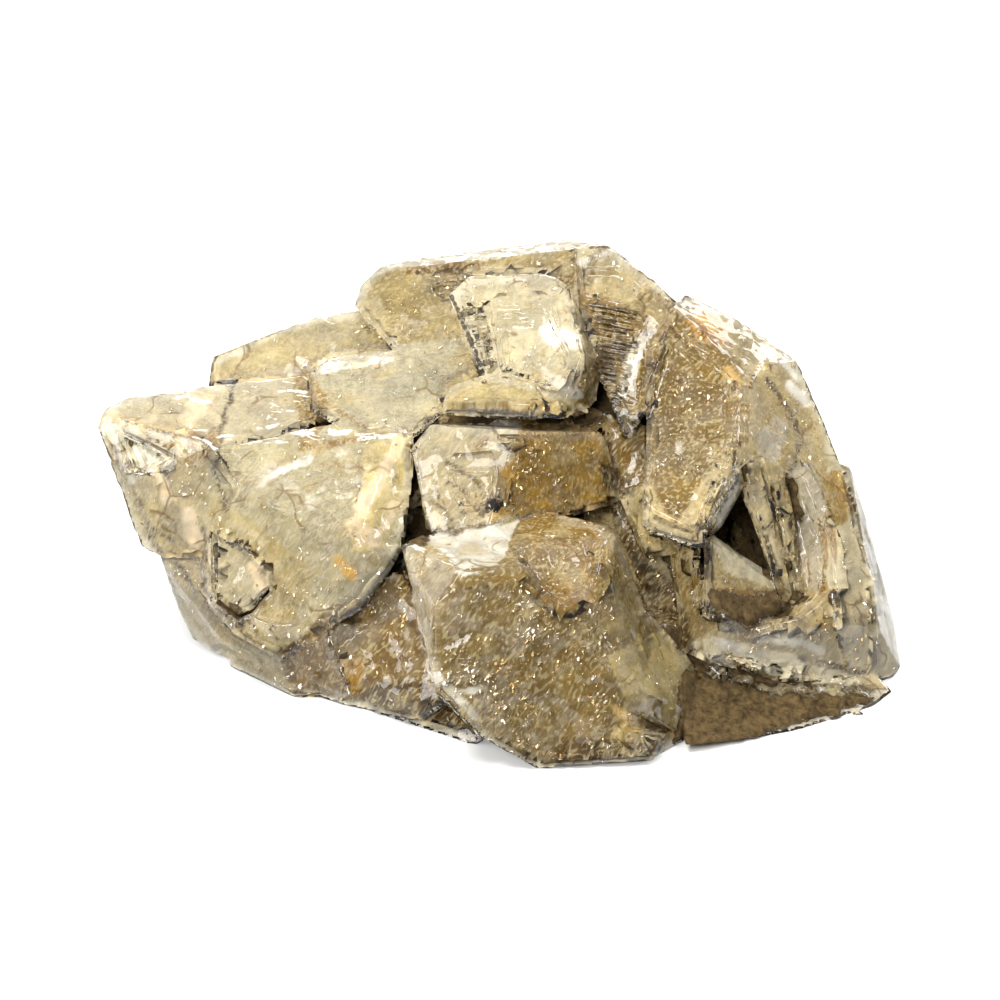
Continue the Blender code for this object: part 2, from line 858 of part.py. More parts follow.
def window_insides():
    """The plates and rods that stand in the great window."""
    return [
        crystal(
            "window_left_plate",
            [
                (24.1, 3.6, 6.0),
                (24.4, 1.6, 6.0),
                (22.3, -2.6, 8.0),
                (21.4, -3.4, 9.0),
                (20.2, -3.0, 9.0),
                (20.8, -0.4, 8.0),
            ],
            [((24.0, 3.4, 8.6), (20.4, -3.0, 12.6), (24.2, 1.6, 8.2))],
            back=-2.0,
            lean=2.0,
            pointed=False,
        ),
        crystal(
            "window_light_face",
            [
                (20.6, -3.2, 6.0),
                (27.4, -7.6, 4.0),
                (28.4, -10.6, 4.0),
                (25.0, -14.0, 6.0),
                (20.6, -11.6, 8.0),
            ],
            [
                ((21.2, -4.2, 12.0), (26.6, -8.4, 9.2), (24.0, -12.8, 12.2)),
                ((20.8, -3.4, 10.6), (27.2, -7.7, 7.4), (21.2, -4.2, 12.0)),
            ],
            back=-4.0,
            lean=2.0,
            pointed=False,
        ),
        crystal(
            "window_first_rod",
            [
                (24.0, 4.6, 2.0),
                (25.6, 4.6, 2.0),
                (27.2, 0.0, 2.0),
                (29.2, -9.4, 2.0),
                (28.4, -10.8, 2.0),
                (26.4, -5.4, 2.0),
                (24.3, 0.5, 2.0),
            ],
            [
                ((24.6, 3.6, 8.0), (26.6, -5.0, 8.6), (24.2, 0.0, 6.6)),
                ((24.6, 3.6, 8.0), (26.6, -5.0, 8.6), (27.6, -3.0, 7.2)),
            ],
            back=-3.0,
            lean=1.0,
            pointed=False,
        ),
        crystal(
            "window_second_rod",
            [
                (26.0, 4.8, 2.0),
                (28.0, 4.8, 2.0),
                (29.6, -3.0, 2.0),
                (30.2, -9.6, 2.0),
                (29.2, -10.4, 2.0),
                (27.4, -2.0, 2.0),
            ],
            [
                ((26.8, 4.4, 6.6), (29.0, -6.0, 6.8), (26.2, 0.0, 5.4)),
                ((26.8, 4.4, 6.6), (29.0, -6.0, 6.8), (29.8, -2.0, 5.4)),
            ],
            back=-4.0,
            lean=1.0,
            pointed=False,
        ),
        crystal(
            "window_right_face",
            [
                (29.2, 3.2, 0.0),
                (31.0, 3.0, 0.0),
                (33.4, -4.0, 0.0),
                (33.4, -9.4, 1.0),
                (31.0, -12.0, 2.0),
                (29.4, -10.6, 2.0),
                (28.8, -4.0, 0.0),
            ],
            [
                ((29.6, 2.6, 3.8), (29.4, -9.6, 4.8), (33.2, -4.0, 4.6)),
                ((29.6, 2.6, 3.8), (29.4, -9.6, 4.8), (28.6, -3.0, 2.0)),
            ],
            back=-6.0,
            lean=1.0,
            pointed=False,
        ),
    ]


PANE_OUTLINE = (
    (-29.2, -3.0),
    (-29.1, -8.7),
    (-28.6, -10.4),
    (-26.4, -12.1),
    (-24.9, -11.3),
    (-23.1, -9.1),
    (-23.3, -7.3),
    (-26.0, -4.7),
)


def left_pane():
    """The clear pane that nearly fills the left window, with a dark gap left and below it."""
    face = [(right, up, near - 0.4) for right, up, near in LEFT_CORNER_FACE]
    outline = [(right * 0.93 - 1.5, up * 0.93 - 0.3, 4.0) for right, up in PANE_OUTLINE]
    return crystal("left_pane", outline, [face], back=-4.0, lean=1.0, pointed=False)


def windows():
    """The hollows, each drawn on the face it is sunk into."""
    return [
        stepped_hollow(
            "great_window",
            WINDOW_FACE,
            [
                (24.0, 3.4),
                (26.5, 5.2),
                (30.0, 3.4),
                (33.0, -3.6),
                (33.4, -9.0),
                (30.4, -11.8),
                (25.5, -13.2),
                (21.2, -10.6),
                (20.3, -6.4),
                (20.3, -3.5),
            ],
            [(1.0, 1.6), (0.9, 3.2), (0.86, 5.4)],
            mouth=6.0,
        ),
        stepped_hollow(
            "deep_window",
            WINDOW_FACE,
            [(23.6, 2.6), (26.4, 3.8), (30.4, 2.6), (32.6, -5.0), (30.0, -10.4), (22.2, -4.6)],
            [(1.0, 7.4), (0.8, 10.6)],
        ),
        stepped_hollow(
            "front_window",
            ((0.8, -4.6, 20.4), (10.6, -5.0, 20.0), (6.0, -10.6, 23.4)),
            [
                (2.2, -1.4),
                (9.4, -1.6),
                (10.4, -5.0),
                (9.2, -9.2),
                (6.2, -10.8),
                (3.6, -8.6),
                (0.9, -5.2),
            ],
            [(1.0, 0.5), (0.86, 1.1), (0.8, 1.7)],
            mouth=8.0,
        ),
        stepped_hollow(
            "lobe_window",
            LOBE_FACE,
            [(11.4, -20.6), (14.2, -21.2), (18.0, -23.4), (13.2, -23.4)],
            [(1.0, 0.6), (0.7, 1.2)],
        ),
        stepped_hollow(
            "left_window",
            LEFT_CORNER_FACE,
            PANE_OUTLINE,
            [(1.0, 2.2)],
        ),
        stepped_hollow(
            "cheek_window",
            CHEEK_FACE,
            [(-38.4, 7.0), (-33.0, 4.2), (-36.8, 2.2)],
            [(1.0, 0.5), (0.75, 1.0)],
        ),
        stepped_hollow(
            "middle_window",
            MIDDLE_FACE,
            [(-5.4, 3.0), (-0.6, 3.2), (-1.2, -0.6), (-4.4, -0.4)],
            [(1.0, 0.35), (0.8, 0.7)],
        ),
        stepped_hollow(
            "middle_notch",
            MIDDLE_FACE,
            [(-1.2, 7.6), (2.0, 8.6), (6.0, 7.6), (1.6, 6.4), (-0.6, 6.2)],
            [(1.0, 1.6)],
        ),
        stepped_hollow(
            "upper_window",
            UPPER_FACE,
            [(-1.0, 19.4), (4.8, 19.6), (7.2, 14.0), (5.8, 11.2), (0.0, 13.0)],
            [(1.0, 0.4), (0.84, 0.8), (0.8, 1.2)],
        ),
        stepped_hollow(
            "right_window",
            RIGHT_FACE,
            [
                (17.0, 18.2),
                (23.4, 12.4),
                (23.6, 6.8),
                (22.2, 2.6),
                (19.4, -3.0),
                (15.4, -1.0),
                (13.2, 1.0),
                (12.8, 6.0),
            ],
            [(1.0, 0.5), (0.86, 1.0)],
        ),
        stepped_hollow(
            "top_groove",
            TOP_FACE,
            [(-7.2, 21.6), (-1.0, 22.4), (7.2, 22.2), (7.0, 20.6), (0.0, 21.0), (-6.6, 20.6)],
            [(1.0, 0.9), (0.7, 1.6)],
        ),
        stepped_hollow(
            "ridged_window",
            RIDGED_FACE,
            [(7.6, 23.4), (11.8, 23.6), (14.4, 21.6), (13.0, 19.6), (8.6, 20.4)],
            [(1.0, 0.5), (0.8, 1.0)],
        ),
        comb(
            "upper_comb",
            UPPER_FACE,
            ((-4.1, 19.0), (-1.5, 19.6)),
            ((-1.9, 13.4), (-0.5, 13.8)),
            10,
            0.4,
            9,
        ),
        comb(
            "ridged_comb",
            RIDGED_FACE,
            ((8.4, 19.6), (14.6, 18.4)),
            ((10.4, 9.4), (11.9, 9.0)),
            19,
            0.55,
            4,
        ),
    ]


CRYSTALS = (
    root_block,
    front_crystal,
    front_lobe,
    middle_crystal,
    upper_crystal,
    sill_crystal,
    ridged_crystal,
    top_slab,
    back_left_crystal,
    left_tip_crystal,
    left_cheek_crystal,
    left_top_crystal,
    left_front_crystal,
    left_rim_crystal,
    left_foot_crystal,
    left_toe_crystal,
    right_crystal,
    window_crystal,
    right_rim_crystal,
    sill_plate_crystal,
    valley_ledge_crystal,
    cleft_crystal,
    under_crystal,
)


def combine(base, others, operation):
    """Joins the others to the base, or cuts them out of it, one after another."""
    for other in others:
        change = base.modifiers.new(operation.lower() + "_" + other.name, "BOOLEAN")
        change.object = other
        change.operation = operation
        change.solver = "EXACT"


def settle(thing):
    """Makes the modifiers' result the object's own mesh."""
    bpy.context.view_layer.update()
    seen = thing.evaluated_get(bpy.context.evaluated_depsgraph_get())
    finished = bpy.data.meshes.new_from_object(seen)
    thing.modifiers.clear()
    old = thing.data
    thing.data = finished
    bpy.data.meshes.remove(old)


def clear_quartz():
    """Clear crystal, faintly yellow from the clay in it."""
    material = bpy.data.materials.new("clear_quartz")
    material.use_nodes = True
    shader = material.node_tree.nodes["Principled BSDF"]
    shader.inputs["Base Color"].default_value = (0.62, 0.55, 0.38, 1.0)
    shader.inputs["Metallic"].default_value = 0.0
    shader.inputs["Roughness"].default_value = 0.15
    shader.inputs["IOR"].default_value = 1.544
    return material


def fill_sealed_gaps(maker):
    """Drops every skin but the outer one, so that a gap sealed in between crystals is filled."""
    unseen = set(maker.verts)
    skins = []
    while unseen:
        waiting = [unseen.pop()]
        skin = []
        while waiting:
            vert = waiting.pop()
            skin.append(vert)
            beside = {edge.other_vert(vert) for edge in vert.link_edges} & unseen
            unseen -= beside
            waiting.extend(beside)
        skins.append(skin)
    skins.sort(key=len)
    for skin in skins[:-1]:
        bmesh.ops.delete(maker, geom=skin, context="VERTS")


def stand_on_the_ground(thing):
    """Cuts the foot flat, and moves the mesh so that its box stands on the middle of the ground."""
    maker = bmesh.new()
    maker.from_mesh(thing.data)
    fill_sealed_gaps(maker)
    slice_off(maker, Vector((0.0, 0.0, FOOT_HEIGHT * MM)), Vector((0.0, 0.0, -1.0)))
    bmesh.ops.recalc_face_normals(maker, faces=maker.faces[:])
    lows = [min(vert.co[axis] for vert in maker.verts) for axis in range(3)]
    highs = [max(vert.co[axis] for vert in maker.verts) for axis in range(3)]
    shift = Vector((-(lows[0] + highs[0]) / 2.0, -(lows[1] + highs[1]) / 2.0, -lows[2]))
    bmesh.ops.translate(maker, vec=shift, verts=maker.verts[:])
    maker.to_mesh(thing.data)
    maker.free()
    print("shifted by mm", [round(value / MM, 3) for value in shift])


def main():
    clear_scene()
    core = core_crystal()
    quartz = bpy.data.objects.new("fenster_quartz", core.data.copy())
    bpy.context.scene.collection.objects.link(quartz)
    combine(quartz, [maker() for maker in CRYSTALS] + back_points(), "UNION")
    combine(quartz, windows(), "DIFFERENCE")
    foot_lumps = lumps(
        "foot_lumps", UNDER_FACE, (20.6, -17.6), (2.3, -0.1), (0.6, -1.7), (7, 3), 2.3, 7
    )
    combine(quartz, window_insides() + [left_pane(), foot_lumps], "UNION")
    settle(quartz)
    stand_on_the_ground(quartz)
    quartz.data.materials.clear()
    quartz.data.materials.append(clear_quartz())


main()
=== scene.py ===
# %% [markdown]
# # Fenster quartz
#
# The object is a hand-sized group of clear quartz crystals that have grown into one another. The
# solid from the frame holds every crystal, ledge and window. This script gives it what the eye
# sees from close by: worn growth ridges on the faces, ochre clay films and white flaws inside the
# clear crystal, glints where thin cracks mirror the light, and dark clay in the gaps.

# %% Load the solid
import math

import bmesh
import bpy
import numpy as np
from mathutils import Matrix, Vector
from mathutils.bvhtree import BVHTree
from mathutils.kdtree import KDTree


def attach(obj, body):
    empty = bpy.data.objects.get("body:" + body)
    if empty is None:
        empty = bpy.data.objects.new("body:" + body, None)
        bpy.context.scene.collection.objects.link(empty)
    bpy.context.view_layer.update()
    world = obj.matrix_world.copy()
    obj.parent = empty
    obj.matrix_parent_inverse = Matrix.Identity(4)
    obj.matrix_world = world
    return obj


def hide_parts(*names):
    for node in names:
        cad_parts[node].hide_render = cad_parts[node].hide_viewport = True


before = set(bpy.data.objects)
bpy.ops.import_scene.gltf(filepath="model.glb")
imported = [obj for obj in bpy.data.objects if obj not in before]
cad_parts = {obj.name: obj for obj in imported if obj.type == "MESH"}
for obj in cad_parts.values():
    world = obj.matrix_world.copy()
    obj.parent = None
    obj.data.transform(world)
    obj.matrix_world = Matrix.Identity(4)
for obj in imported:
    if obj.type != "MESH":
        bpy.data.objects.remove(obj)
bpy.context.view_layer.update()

MM = 0.001

# %% [markdown]
# The camera looks down at the group by 25 degrees, from half a metre away with a long lens, as a
# product photographer would. Many of the marks below are placed as they show in that view: so many
# mm right of its middle, so many above it. One function turns places on the object into view
# places.

# %% Camera
VIEW_RISE = math.radians(25.0)
VIEW_DISTANCE = 500.0
VIEW_WIDTH = 100.0
SENSOR_WIDTH = 36.0
AIM = np.array([0.201, -1.818, 15.0])
RAY_LIFT = 0.1 * MM
RIGHTWARD = np.array([1.0, 0.0, 0.0])
UPWARD = np.array([0.0, math.sin(VIEW_RISE), math.cos(VIEW_RISE)])
NEARER = np.array([0.0, -math.cos(VIEW_RISE), math.sin(VIEW_RISE)])

camera_data = bpy.data.cameras.new("camera")
camera_data.sensor_width = SENSOR_WIDTH
camera_data.lens = SENSOR_WIDTH * VIEW_DISTANCE / VIEW_WIDTH
camera = bpy.data.objects.new("camera", camera_data)
camera.location = (AIM + NEARER * VIEW_DISTANCE) * MM
camera.rotation_euler = (math.pi / 2.0 - VIEW_RISE, 0.0, 0.0)
bpy.context.scene.collection.objects.link(camera)
bpy.context.scene.camera = camera


def seen_at(places):
    """How far right, up and near each place, in metres, shows in the front view, in mm."""
    offset = places / MM - AIM
    near = offset @ NEARER
    narrowing = (VIEW_DISTANCE - near) / VIEW_DISTANCE
    return np.stack([offset @ RIGHTWARD / narrowing, offset @ UPWARD / narrowing, near], axis=1)


print("lens", round(camera_data.lens, 1), "mm")

# %% [markdown]
# Natural surfaces need patterns that never repeat. This is value noise: random numbers on a grid
# of points, blended smoothly in between, and summed at several sizes. A seed makes it the same
# each time.

# %% Noise


def grid_value(cells, seed):
    """A random number from 0 to 1 for each whole-numbered cell corner."""
    mixed = cells[:, 0] * 374761393 + cells[:, 1] * 668265263 + cells[:, 2] * 2147483647 + seed * 144665
    mixed = (mixed ^ (mixed >> 13)) * 1274126177
    mixed = mixed ^ (mixed >> 16)
    return (mixed & 0xFFFFFF).astype(float) / 0xFFFFFF


def noise(places, size, seed=0, octaves=3):
    """Smooth noise from 0 to 1. Size is that of its largest lumps, in mm."""
    total = np.zeros(len(places))
    weight = 0.0
    for octave in range(octaves):
        scaled = places / MM / size * 2.0**octave
        corner = np.floor(scaled).astype(np.int64)
        part = scaled - corner
        part = part * part * (3.0 - 2.0 * part)
        value = np.zeros(len(places))
        for dx in (0, 1):
            for dy in (0, 1):
                for dz in (0, 1):
                    step = np.array([dx, dy, dz])
                    share = np.prod(np.where(step == 1, part, 1.0 - part), axis=1)
                    value += share * grid_value(corner + step, seed + octave)
        total += value * 0.5**octave
        weight += 0.5**octave
    return total / weight


def smooth_step(value, low, high):
    """0 below low, 1 above high, and smooth in between."""
    part = np.clip((value - low) / (high - low), 0.0, 1.0)
    return part * part * (3.0 - 2.0 * part)


# %% [markdown]
# The frame's mesh is a few thousand large triangles. A merged copy of it is split until its edges
# are short enough to carry ridges and pits: finer on the side that the camera sees, coarser
# behind. Splitting keeps every crystal face flat and every edge where it is.

# %% Fine mesh of the group
FINE_EDGE = 0.72
COARSE_EDGE = 1.7
MOST_SPLITS = 14
cad_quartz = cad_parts["fenster_quartz"]
toward_camera = Vector(NEARER)


def places_of(maker):
    """The places of all corners, in metres."""
    return np.array([vert.co for vert in maker.verts], float)


def merged_copy(thing):
    """The same solid with its doubled corners merged and its flat faces in one piece each."""
    maker = bmesh.new()
    maker.from_mesh(thing.data)
    bmesh.ops.remove_doubles(maker, verts=maker.verts[:], dist=1e-6)
    bmesh.ops.dissolve_limit(
        maker, angle_limit=math.radians(0.2), verts=maker.verts[:], edges=maker.edges[:]
    )
    bmesh.ops.triangulate(maker, faces=maker.faces[:])
    return maker


def shows(edge):
    """Whether the camera sees the middle of the edge."""
    facing = max(edge.link_faces, key=lambda face: face.normal.dot(toward_camera))
    if facing.normal.dot(toward_camera) < 0.03:
        return False
    start = (edge.verts[0].co + edge.verts[1].co) / 2.0 + facing.normal * RAY_LIFT
    return solid_tree.ray_cast(start, toward_camera)[0] is None


def split_long_edges(maker, seen_edge, hidden_edge):
    """Splits edges until none is longer than its limit, in mm."""
    for _ in range(MOST_SPLITS):
        maker.normal_update()
        long_edges = []
        for edge in maker.edges:
            length = edge.calc_length() / MM
            if length > hidden_edge or (length > seen_edge and shows(edge)):
                long_edges.append(edge)
        if not long_edges:
            break
        bmesh.ops.subdivide_edges(maker, edges=long_edges, cuts=1)
        wide = [face for face in maker.faces if len(face.verts) > 3]
        bmesh.ops.triangulate(maker, faces=wide)


fine = merged_copy(cad_quartz)
solid_tree = BVHTree.FromBMesh(fine)
split_long_edges(fine, FINE_EDGE, COARSE_EDGE)
fine.normal_update()
print("fine mesh:", len(fine.faces), "triangles")

# %% [markdown]
# How open a spot is places the clay crust, which stays in the gaps that rain and fingers don't
# reach, and also sets the painted shade that darkens the phantoms where the surface is walled in.
# Rays sent out from each corner over the half sphere above it measure how open it is. It is
# measured on the plain solid, on a coarse set of corners, and read off by the nearest.

# %% How open each spot is
OPEN_RAYS = 28
OPEN_REACH = 9.0
MEASURE_EACH = 9
golden_turn = math.pi * (3.0 - math.sqrt(5.0))


def ray_fan():
    """Directions spread evenly over a half sphere about +Z."""
    rays = []
    for number in range(OPEN_RAYS):
        height = (number + 0.5) / OPEN_RAYS
        around = golden_turn * number
        flat = math.sqrt(1.0 - height * height)
        rays.append(Vector((flat * math.cos(around), flat * math.sin(around), height)))
    return rays


def measure_openness(maker):
    """A tree of corners and how open each is, from 0 for walled in to 1 for free all round."""
    rays = ray_fan()
    corners = [(vert.co.copy(), vert.normal.copy()) for vert in list(maker.verts)[::MEASURE_EACH]]
    tree = KDTree(len(corners))
    values = []
    for number, (place, normal) in enumerate(corners):
        turn = Vector((0.0, 0.0, 1.0)).rotation_difference(normal)
        start = place + normal * RAY_LIFT
        free = 0.0
        for ray in rays:
            hit = solid_tree.ray_cast(start, turn @ ray, OPEN_REACH * MM)
            free += 1.0 if hit[3] is None else 0.8 * hit[3] / (OPEN_REACH * MM)
        values.append(free / OPEN_RAYS)
        tree.insert(place, number)
    tree.balance()
    return tree, values


open_tree, open_values = measure_openness(fine)


def openness_at(places):
    """How open each place is, from the three measured corners nearest to it."""
    found = []
    for place in places:
        near = open_tree.find_n(place, 3)
        shares = [1.0 / (distance + 0.05 * MM) for _, _, distance in near]
        mean = sum(open_values[index] * share for (_, index, _), share in zip(near, shares))
        found.append(mean / sum(shares))
    return np.array(found)


print("openness from", round(min(open_values), 2), "to", round(max(open_values), 2))

# %% [markdown]
# The faces of fenster quartz aren't flat. Growth leaves low terraces with ragged rims, acid ground
# water etches pits into them, and the crystals' edges are a little worn. The fine mesh is moved
# along its normals by these forms, each from a real height in mm. The cut foot stays flat.

# %% Terraces, pits and worn edges
TERRACE_HEIGHT = 0.16
TERRACE_WIDTH = 2.4
PIT_DEPTH = 0.10
PIT_SIZE = 0.8
WAVE_HEIGHT = 0.10
WAVE_SIZE = 3.5
WORN_EDGE_SHARE = 0.22
FINE_RIDGE = 0.45
FOOT_CLEAR = 0.4


def terraces(places, seed):
    """Flat steps with ragged rims, from 0 to 1, as growth layers leave them."""
    level = noise(places, 9.0, seed, 3) * 9.0 + noise(places, TERRACE_WIDTH, seed + 5, 2) * 1.1
    tread = np.floor(level)
    rise = smooth_step(level - tread, 0.78, 1.0)
    return (tread + rise) % 3.0 / 3.0


def wear_edges(maker):
    """Rounds the crystals' sharp edges a little, but not the fine growth ridges."""
    sharp = set()
    for edge in maker.edges:
        if len(edge.link_faces) == 2 and edge.calc_face_angle() > math.radians(12.0):
            sharp.update(edge.verts)
    broad = []
    for vert in sharp:
        if min(edge.calc_length() for edge in vert.link_edges) > FINE_RIDGE * MM / 2.0:
            broad.append(vert)
    bmesh.ops.smooth_vert(
        maker, verts=broad, factor=WORN_EDGE_SHARE, use_axis_x=True, use_axis_y=True, use_axis_z=True
    )
    maker.normal_update()


wear_edges(fine)
places = places_of(fine)
normals = np.array([vert.normal for vert in fine.verts], float)
foot = smooth_step(places[:, 2] / MM, FOOT_CLEAR, 2.0)
relief = -TERRACE_HEIGHT * terraces(places, 3)
relief -= PIT_DEPTH * smooth_step(noise(places, PIT_SIZE, 8, 2), 0.62, 0.75)
relief += WAVE_HEIGHT * (noise(places, WAVE_SIZE, 21, 3) - 0.5)
moved = places + normals * (relief * foot * MM)[:, None]
for vert, place in zip(fine.verts, moved):
    vert.co = place
fine.normal_update()
print("relief from", round(float(relief.min()), 2), "to", round(float(relief.max()), 2), "mm")


# %% [markdown]
# A piece is finished when its mesh is an object at the origin that rides on the group's body and
# carries its material.

# %% Finish a piece


def finish_piece(maker, name, material, smooth=True):
    """Turns a bmesh into a piece of the group, with its material."""
    mesh = bpy.data.meshes.new(name)
    maker.to_mesh(mesh)
    for polygon in mesh.polygons:
        polygon.use_smooth = smooth
    piece = bpy.data.objects.new(name, mesh)
    bpy.context.scene.collection.objects.link(piece)
    piece.data.materials.append(material)
    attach(piece, "root")
    print(name, "has", len(mesh.polygons), "faces")
    return piece


# %% [markdown]
# Colours are picked as sRGB hex values, as a paint chart gives them, and one function turns them
# into the linear values that light is added in. Another adds a node with its settings and links.
# The scale of a pattern is its number of lumps in a metre, so a scale of 250 makes 4 mm lumps.

# %% Colour and node helpers


def linear(hex_colour):
    """An sRGB hex colour as linear red, green, blue and alpha."""
    parts = [int(hex_colour[index : index + 2], 16) / 255.0 for index in (1, 3, 5)]
    bent = [part / 12.92 if part <= 0.04045 else ((part + 0.055) / 1.055) ** 2.4 for part in parts]
    return (*bent, 1.0)


def node(tree, kind, settings=None, numbered=None, **named):
    """Adds a node. Settings are its own values, and an input is a value or the socket it reads."""
    made = tree.nodes.new(kind)
    for key, value in (settings or {}).items():
        setattr(made, key, value)
    inputs = dict(numbered or {})
    for key, value in named.items():
        inputs[key.replace("_", " ")] = value
    for key, value in inputs.items():
        if isinstance(value, bpy.types.NodeSocket):
            tree.links.new(value, made.inputs[key])
        else:
            made.inputs[key].default_value = value
    return made


# %% [markdown]
# Rock crystal is clear quartz: it bends light with an index of 1.544 and shines without a coat.
# Grown faces are as smooth as glass and etched ones are frosted, so roughness follows a pattern
# of broad patches, and a fine bump stands for the ridges that are too small to model. A volume
# absorption gives thick crystal its faint honey tint.

# %% Clear quartz
POLISHED_ROUGHNESS = 0.03
POLISHED = {
    "front crystal's bright facet": [
        (-8.2, -3.2), (-5, -1.8), (2, -1), (1, -4.6), (-0.6, -7), (-3.8, -7.6)
    ],
    "right crystal's bright strip": [
        (12.2, 15.4), (16, 15.4), (13.2, 9.5), (11.2, 7.4), (10.2, 8.2), (12, 11)
    ],
    "left bright triangle": [(-39, 8), (-31.6, 4.2), (-37, 1)],
    "upper crystal's bright patch": [(4.4, 17.6), (8.2, 18), (8, 13.6), (4.6, 14)],
    "window's light face": [(20.6, -3), (27.4, -6.2), (27.4, -9.2), (22.2, -7.2)],
}


def clear_quartz():
    """Rock crystal, grown smooth and etched in patches: glassy, with a broken, watery sparkle."""
    material = bpy.data.materials.new("clear_quartz_grown_and_etched")
    material.use_nodes = True
    tree = material.node_tree
    tree.nodes.clear()
    where = node(tree, "ShaderNodeTexCoord").outputs["Object"]
    patches = node(
        tree, "ShaderNodeTexNoise", Vector=where, Scale=260.0, Detail=2.0, Roughness=0.6
    ).outputs["Fac"]
    rough = node(
        tree,
        "ShaderNodeMapRange",
        {"clamp": True},
        Value=patches,
        From_Min=0.45,
        From_Max=0.68,
        To_Min=0.015,
        To_Max=0.16,
    ).outputs["Result"]
    polish = node(tree, "ShaderNodeAttribute", {"attribute_name": "polish"}).outputs["Fac"]
    smoothed = node(
        tree, "ShaderNodeMix", {"data_type": "FLOAT"}, {0: polish, 2: rough, 3: POLISHED_ROUGHNESS}
    )
    stretched = node(tree, "ShaderNodeMapping", Vector=where, Scale=(1.0, 1.0, 0.6))
    warp = node(tree, "ShaderNodeTexNoise", Vector=where, Scale=500.0, Detail=0.0)
    warped = node(
        tree,
        "ShaderNodeVectorMath",
        {"operation": "MULTIPLY_ADD"},
        {0: warp.outputs["Color"], 1: (0.0014, 0.0014, 0.0014), 2: stretched.outputs["Vector"]},
    ).outputs[0]
    cells = node(tree, "ShaderNodeTexVoronoi", Vector=warped, Scale=430.0)
    beside = node(
        tree,
        "ShaderNodeVectorMath",
        {"operation": "SUBTRACT"},
        {0: warped, 1: cells.outputs["Position"]},
    )
    lean = node(
        tree,
        "ShaderNodeVectorMath",
        {"operation": "SUBTRACT"},
        {0: cells.outputs["Color"], 1: (0.5, 0.5, 0.5)},
    )
    rise = node(
        tree,
        "ShaderNodeVectorMath",
        {"operation": "DOT_PRODUCT"},
        {0: beside.outputs[0], 1: lean.outputs[0]},
    )
    strength = node(tree, "ShaderNodeMapRange", Value=polish, To_Min=1.0, To_Max=0.15)
    bump = node(
        tree,
        "ShaderNodeBump",
        Strength=strength.outputs["Result"],
        Distance=0.22,
        Height=rise.outputs["Value"],
    )
    shader = node(
        tree,
        "ShaderNodeBsdfPrincipled",
        Base_Color=linear("#fdfaf2"),
        Roughness=smoothed.outputs[0],
        IOR=1.544,
        Transmission_Weight=1.0,
        Normal=bump.outputs["Normal"],
    )
    haze = node(tree, "ShaderNodeVolumeAbsorption", Color=linear("#f3e2b0"), Density=110.0)
    node(
        tree, "ShaderNodeOutputMaterial", Surface=shader.outputs["BSDF"], Volume=haze.outputs["Volume"]
    )
    return material


def inside_outline(rights, ups, corners):
    """Whether each view place lies in an outline, by counting the sides that a line crosses."""
    crossed = np.zeros(len(rights), bool)
    for (x0, y0), (x1, y1) in zip(corners, corners[1:] + corners[:1]):
        spans = (y0 > ups) != (y1 > ups)
        if y0 != y1:
            crossed ^= spans & (rights < (x1 - x0) * (ups - y0) / (y1 - y0) + x0)
    return crossed


quartz = finish_piece(fine.copy(), "quartz_crystals", clear_quartz())
quartz_view = seen_at(places_of(fine))
polish = np.zeros(len(quartz_view))
for corners in POLISHED.values():
    polish[inside_outline(quartz_view[:, 0], quartz_view[:, 1], corners)] = 1.0
polish_layer = quartz.data.attributes.new("polish", "FLOAT", "POINT")
polish_layer.data.foreach_set("value", polish)
quartz.visible_shadow = False
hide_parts("fenster_quartz")
fine_tree = BVHTree.FromBMesh(fine)

# %% [markdown]
# Inside clear quartz one sees its phantoms: old growth faces, a little under today's faces, on
# which ochre clay settled before the crystal grew on. They give the group nearly all of its
# colour. The first phantom is a fine grid, laid like a cloth over what the camera sees and sunk
# under the surface. Its squares are a quarter of a millimetre wide, so that it can carry fine
# marks. Squares that would span a deep gap or reach outside the crystal are left out.

# %% Phantom sheet under the seen faces
SHEET_STEP = 0.25
SHEET_WIDTH = 82.0
SHEET_HEIGHT = 55.0
SHEET_TEAR = 9.0
OUTSIDE_AT_MOST = 0.06
PHANTOM_DEPTH = 0.9
PHANTOM_RELIEF = 0.5
LEAST_DEPTH = 0.4
LEAST_COVER = 0.15
SMOOTH_REACH = 6
SMOOTH_JUMP = 3.0
RIM_SMOOTHINGS = 3
SHEET_COLUMNS = round(SHEET_WIDTH / SHEET_STEP)
SHEET_ROWS = round(SHEET_HEIGHT / SHEET_STEP)


def grid_in_view():
    """A flat grid across the view, its corners in mm right and up."""
    maker = bmesh.new()
    spread = Matrix.Diagonal((SHEET_WIDTH / 2.0, SHEET_HEIGHT / 2.0, 1.0, 1.0))
    bmesh.ops.create_grid(
        maker, x_segments=SHEET_COLUMNS, y_segments=SHEET_ROWS, size=1.0, matrix=spread
    )
    return maker


def drop_on_group(maker):
    """Where each corner lands on the group, seen from the camera, and how thick the group is."""
    eye = Vector((AIM + NEARER * VIEW_DISTANCE) * MM)
    landed = np.full((len(maker.verts), 3), np.nan)
    ahead = np.zeros((len(maker.verts), 3))
    thickness = np.zeros(len(maker.verts))
    slope = np.ones(len(maker.verts))
    for number, vert in enumerate(maker.verts):
        target = Vector((AIM + RIGHTWARD * vert.co.x + UPWARD * vert.co.y) * MM)
        ray = (target - eye).normalized()
        place, normal, _, _ = fine_tree.ray_cast(eye, ray)
        if place is None:
            continue
        landed[number] = place
        ahead[number] = ray
        slope[number] = -normal.dot(ray)
        back = fine_tree.ray_cast(place + ray * 0.02 * MM, ray)[3]
        thickness[number] = back or 0.0
    return landed, ahead, thickness, slope


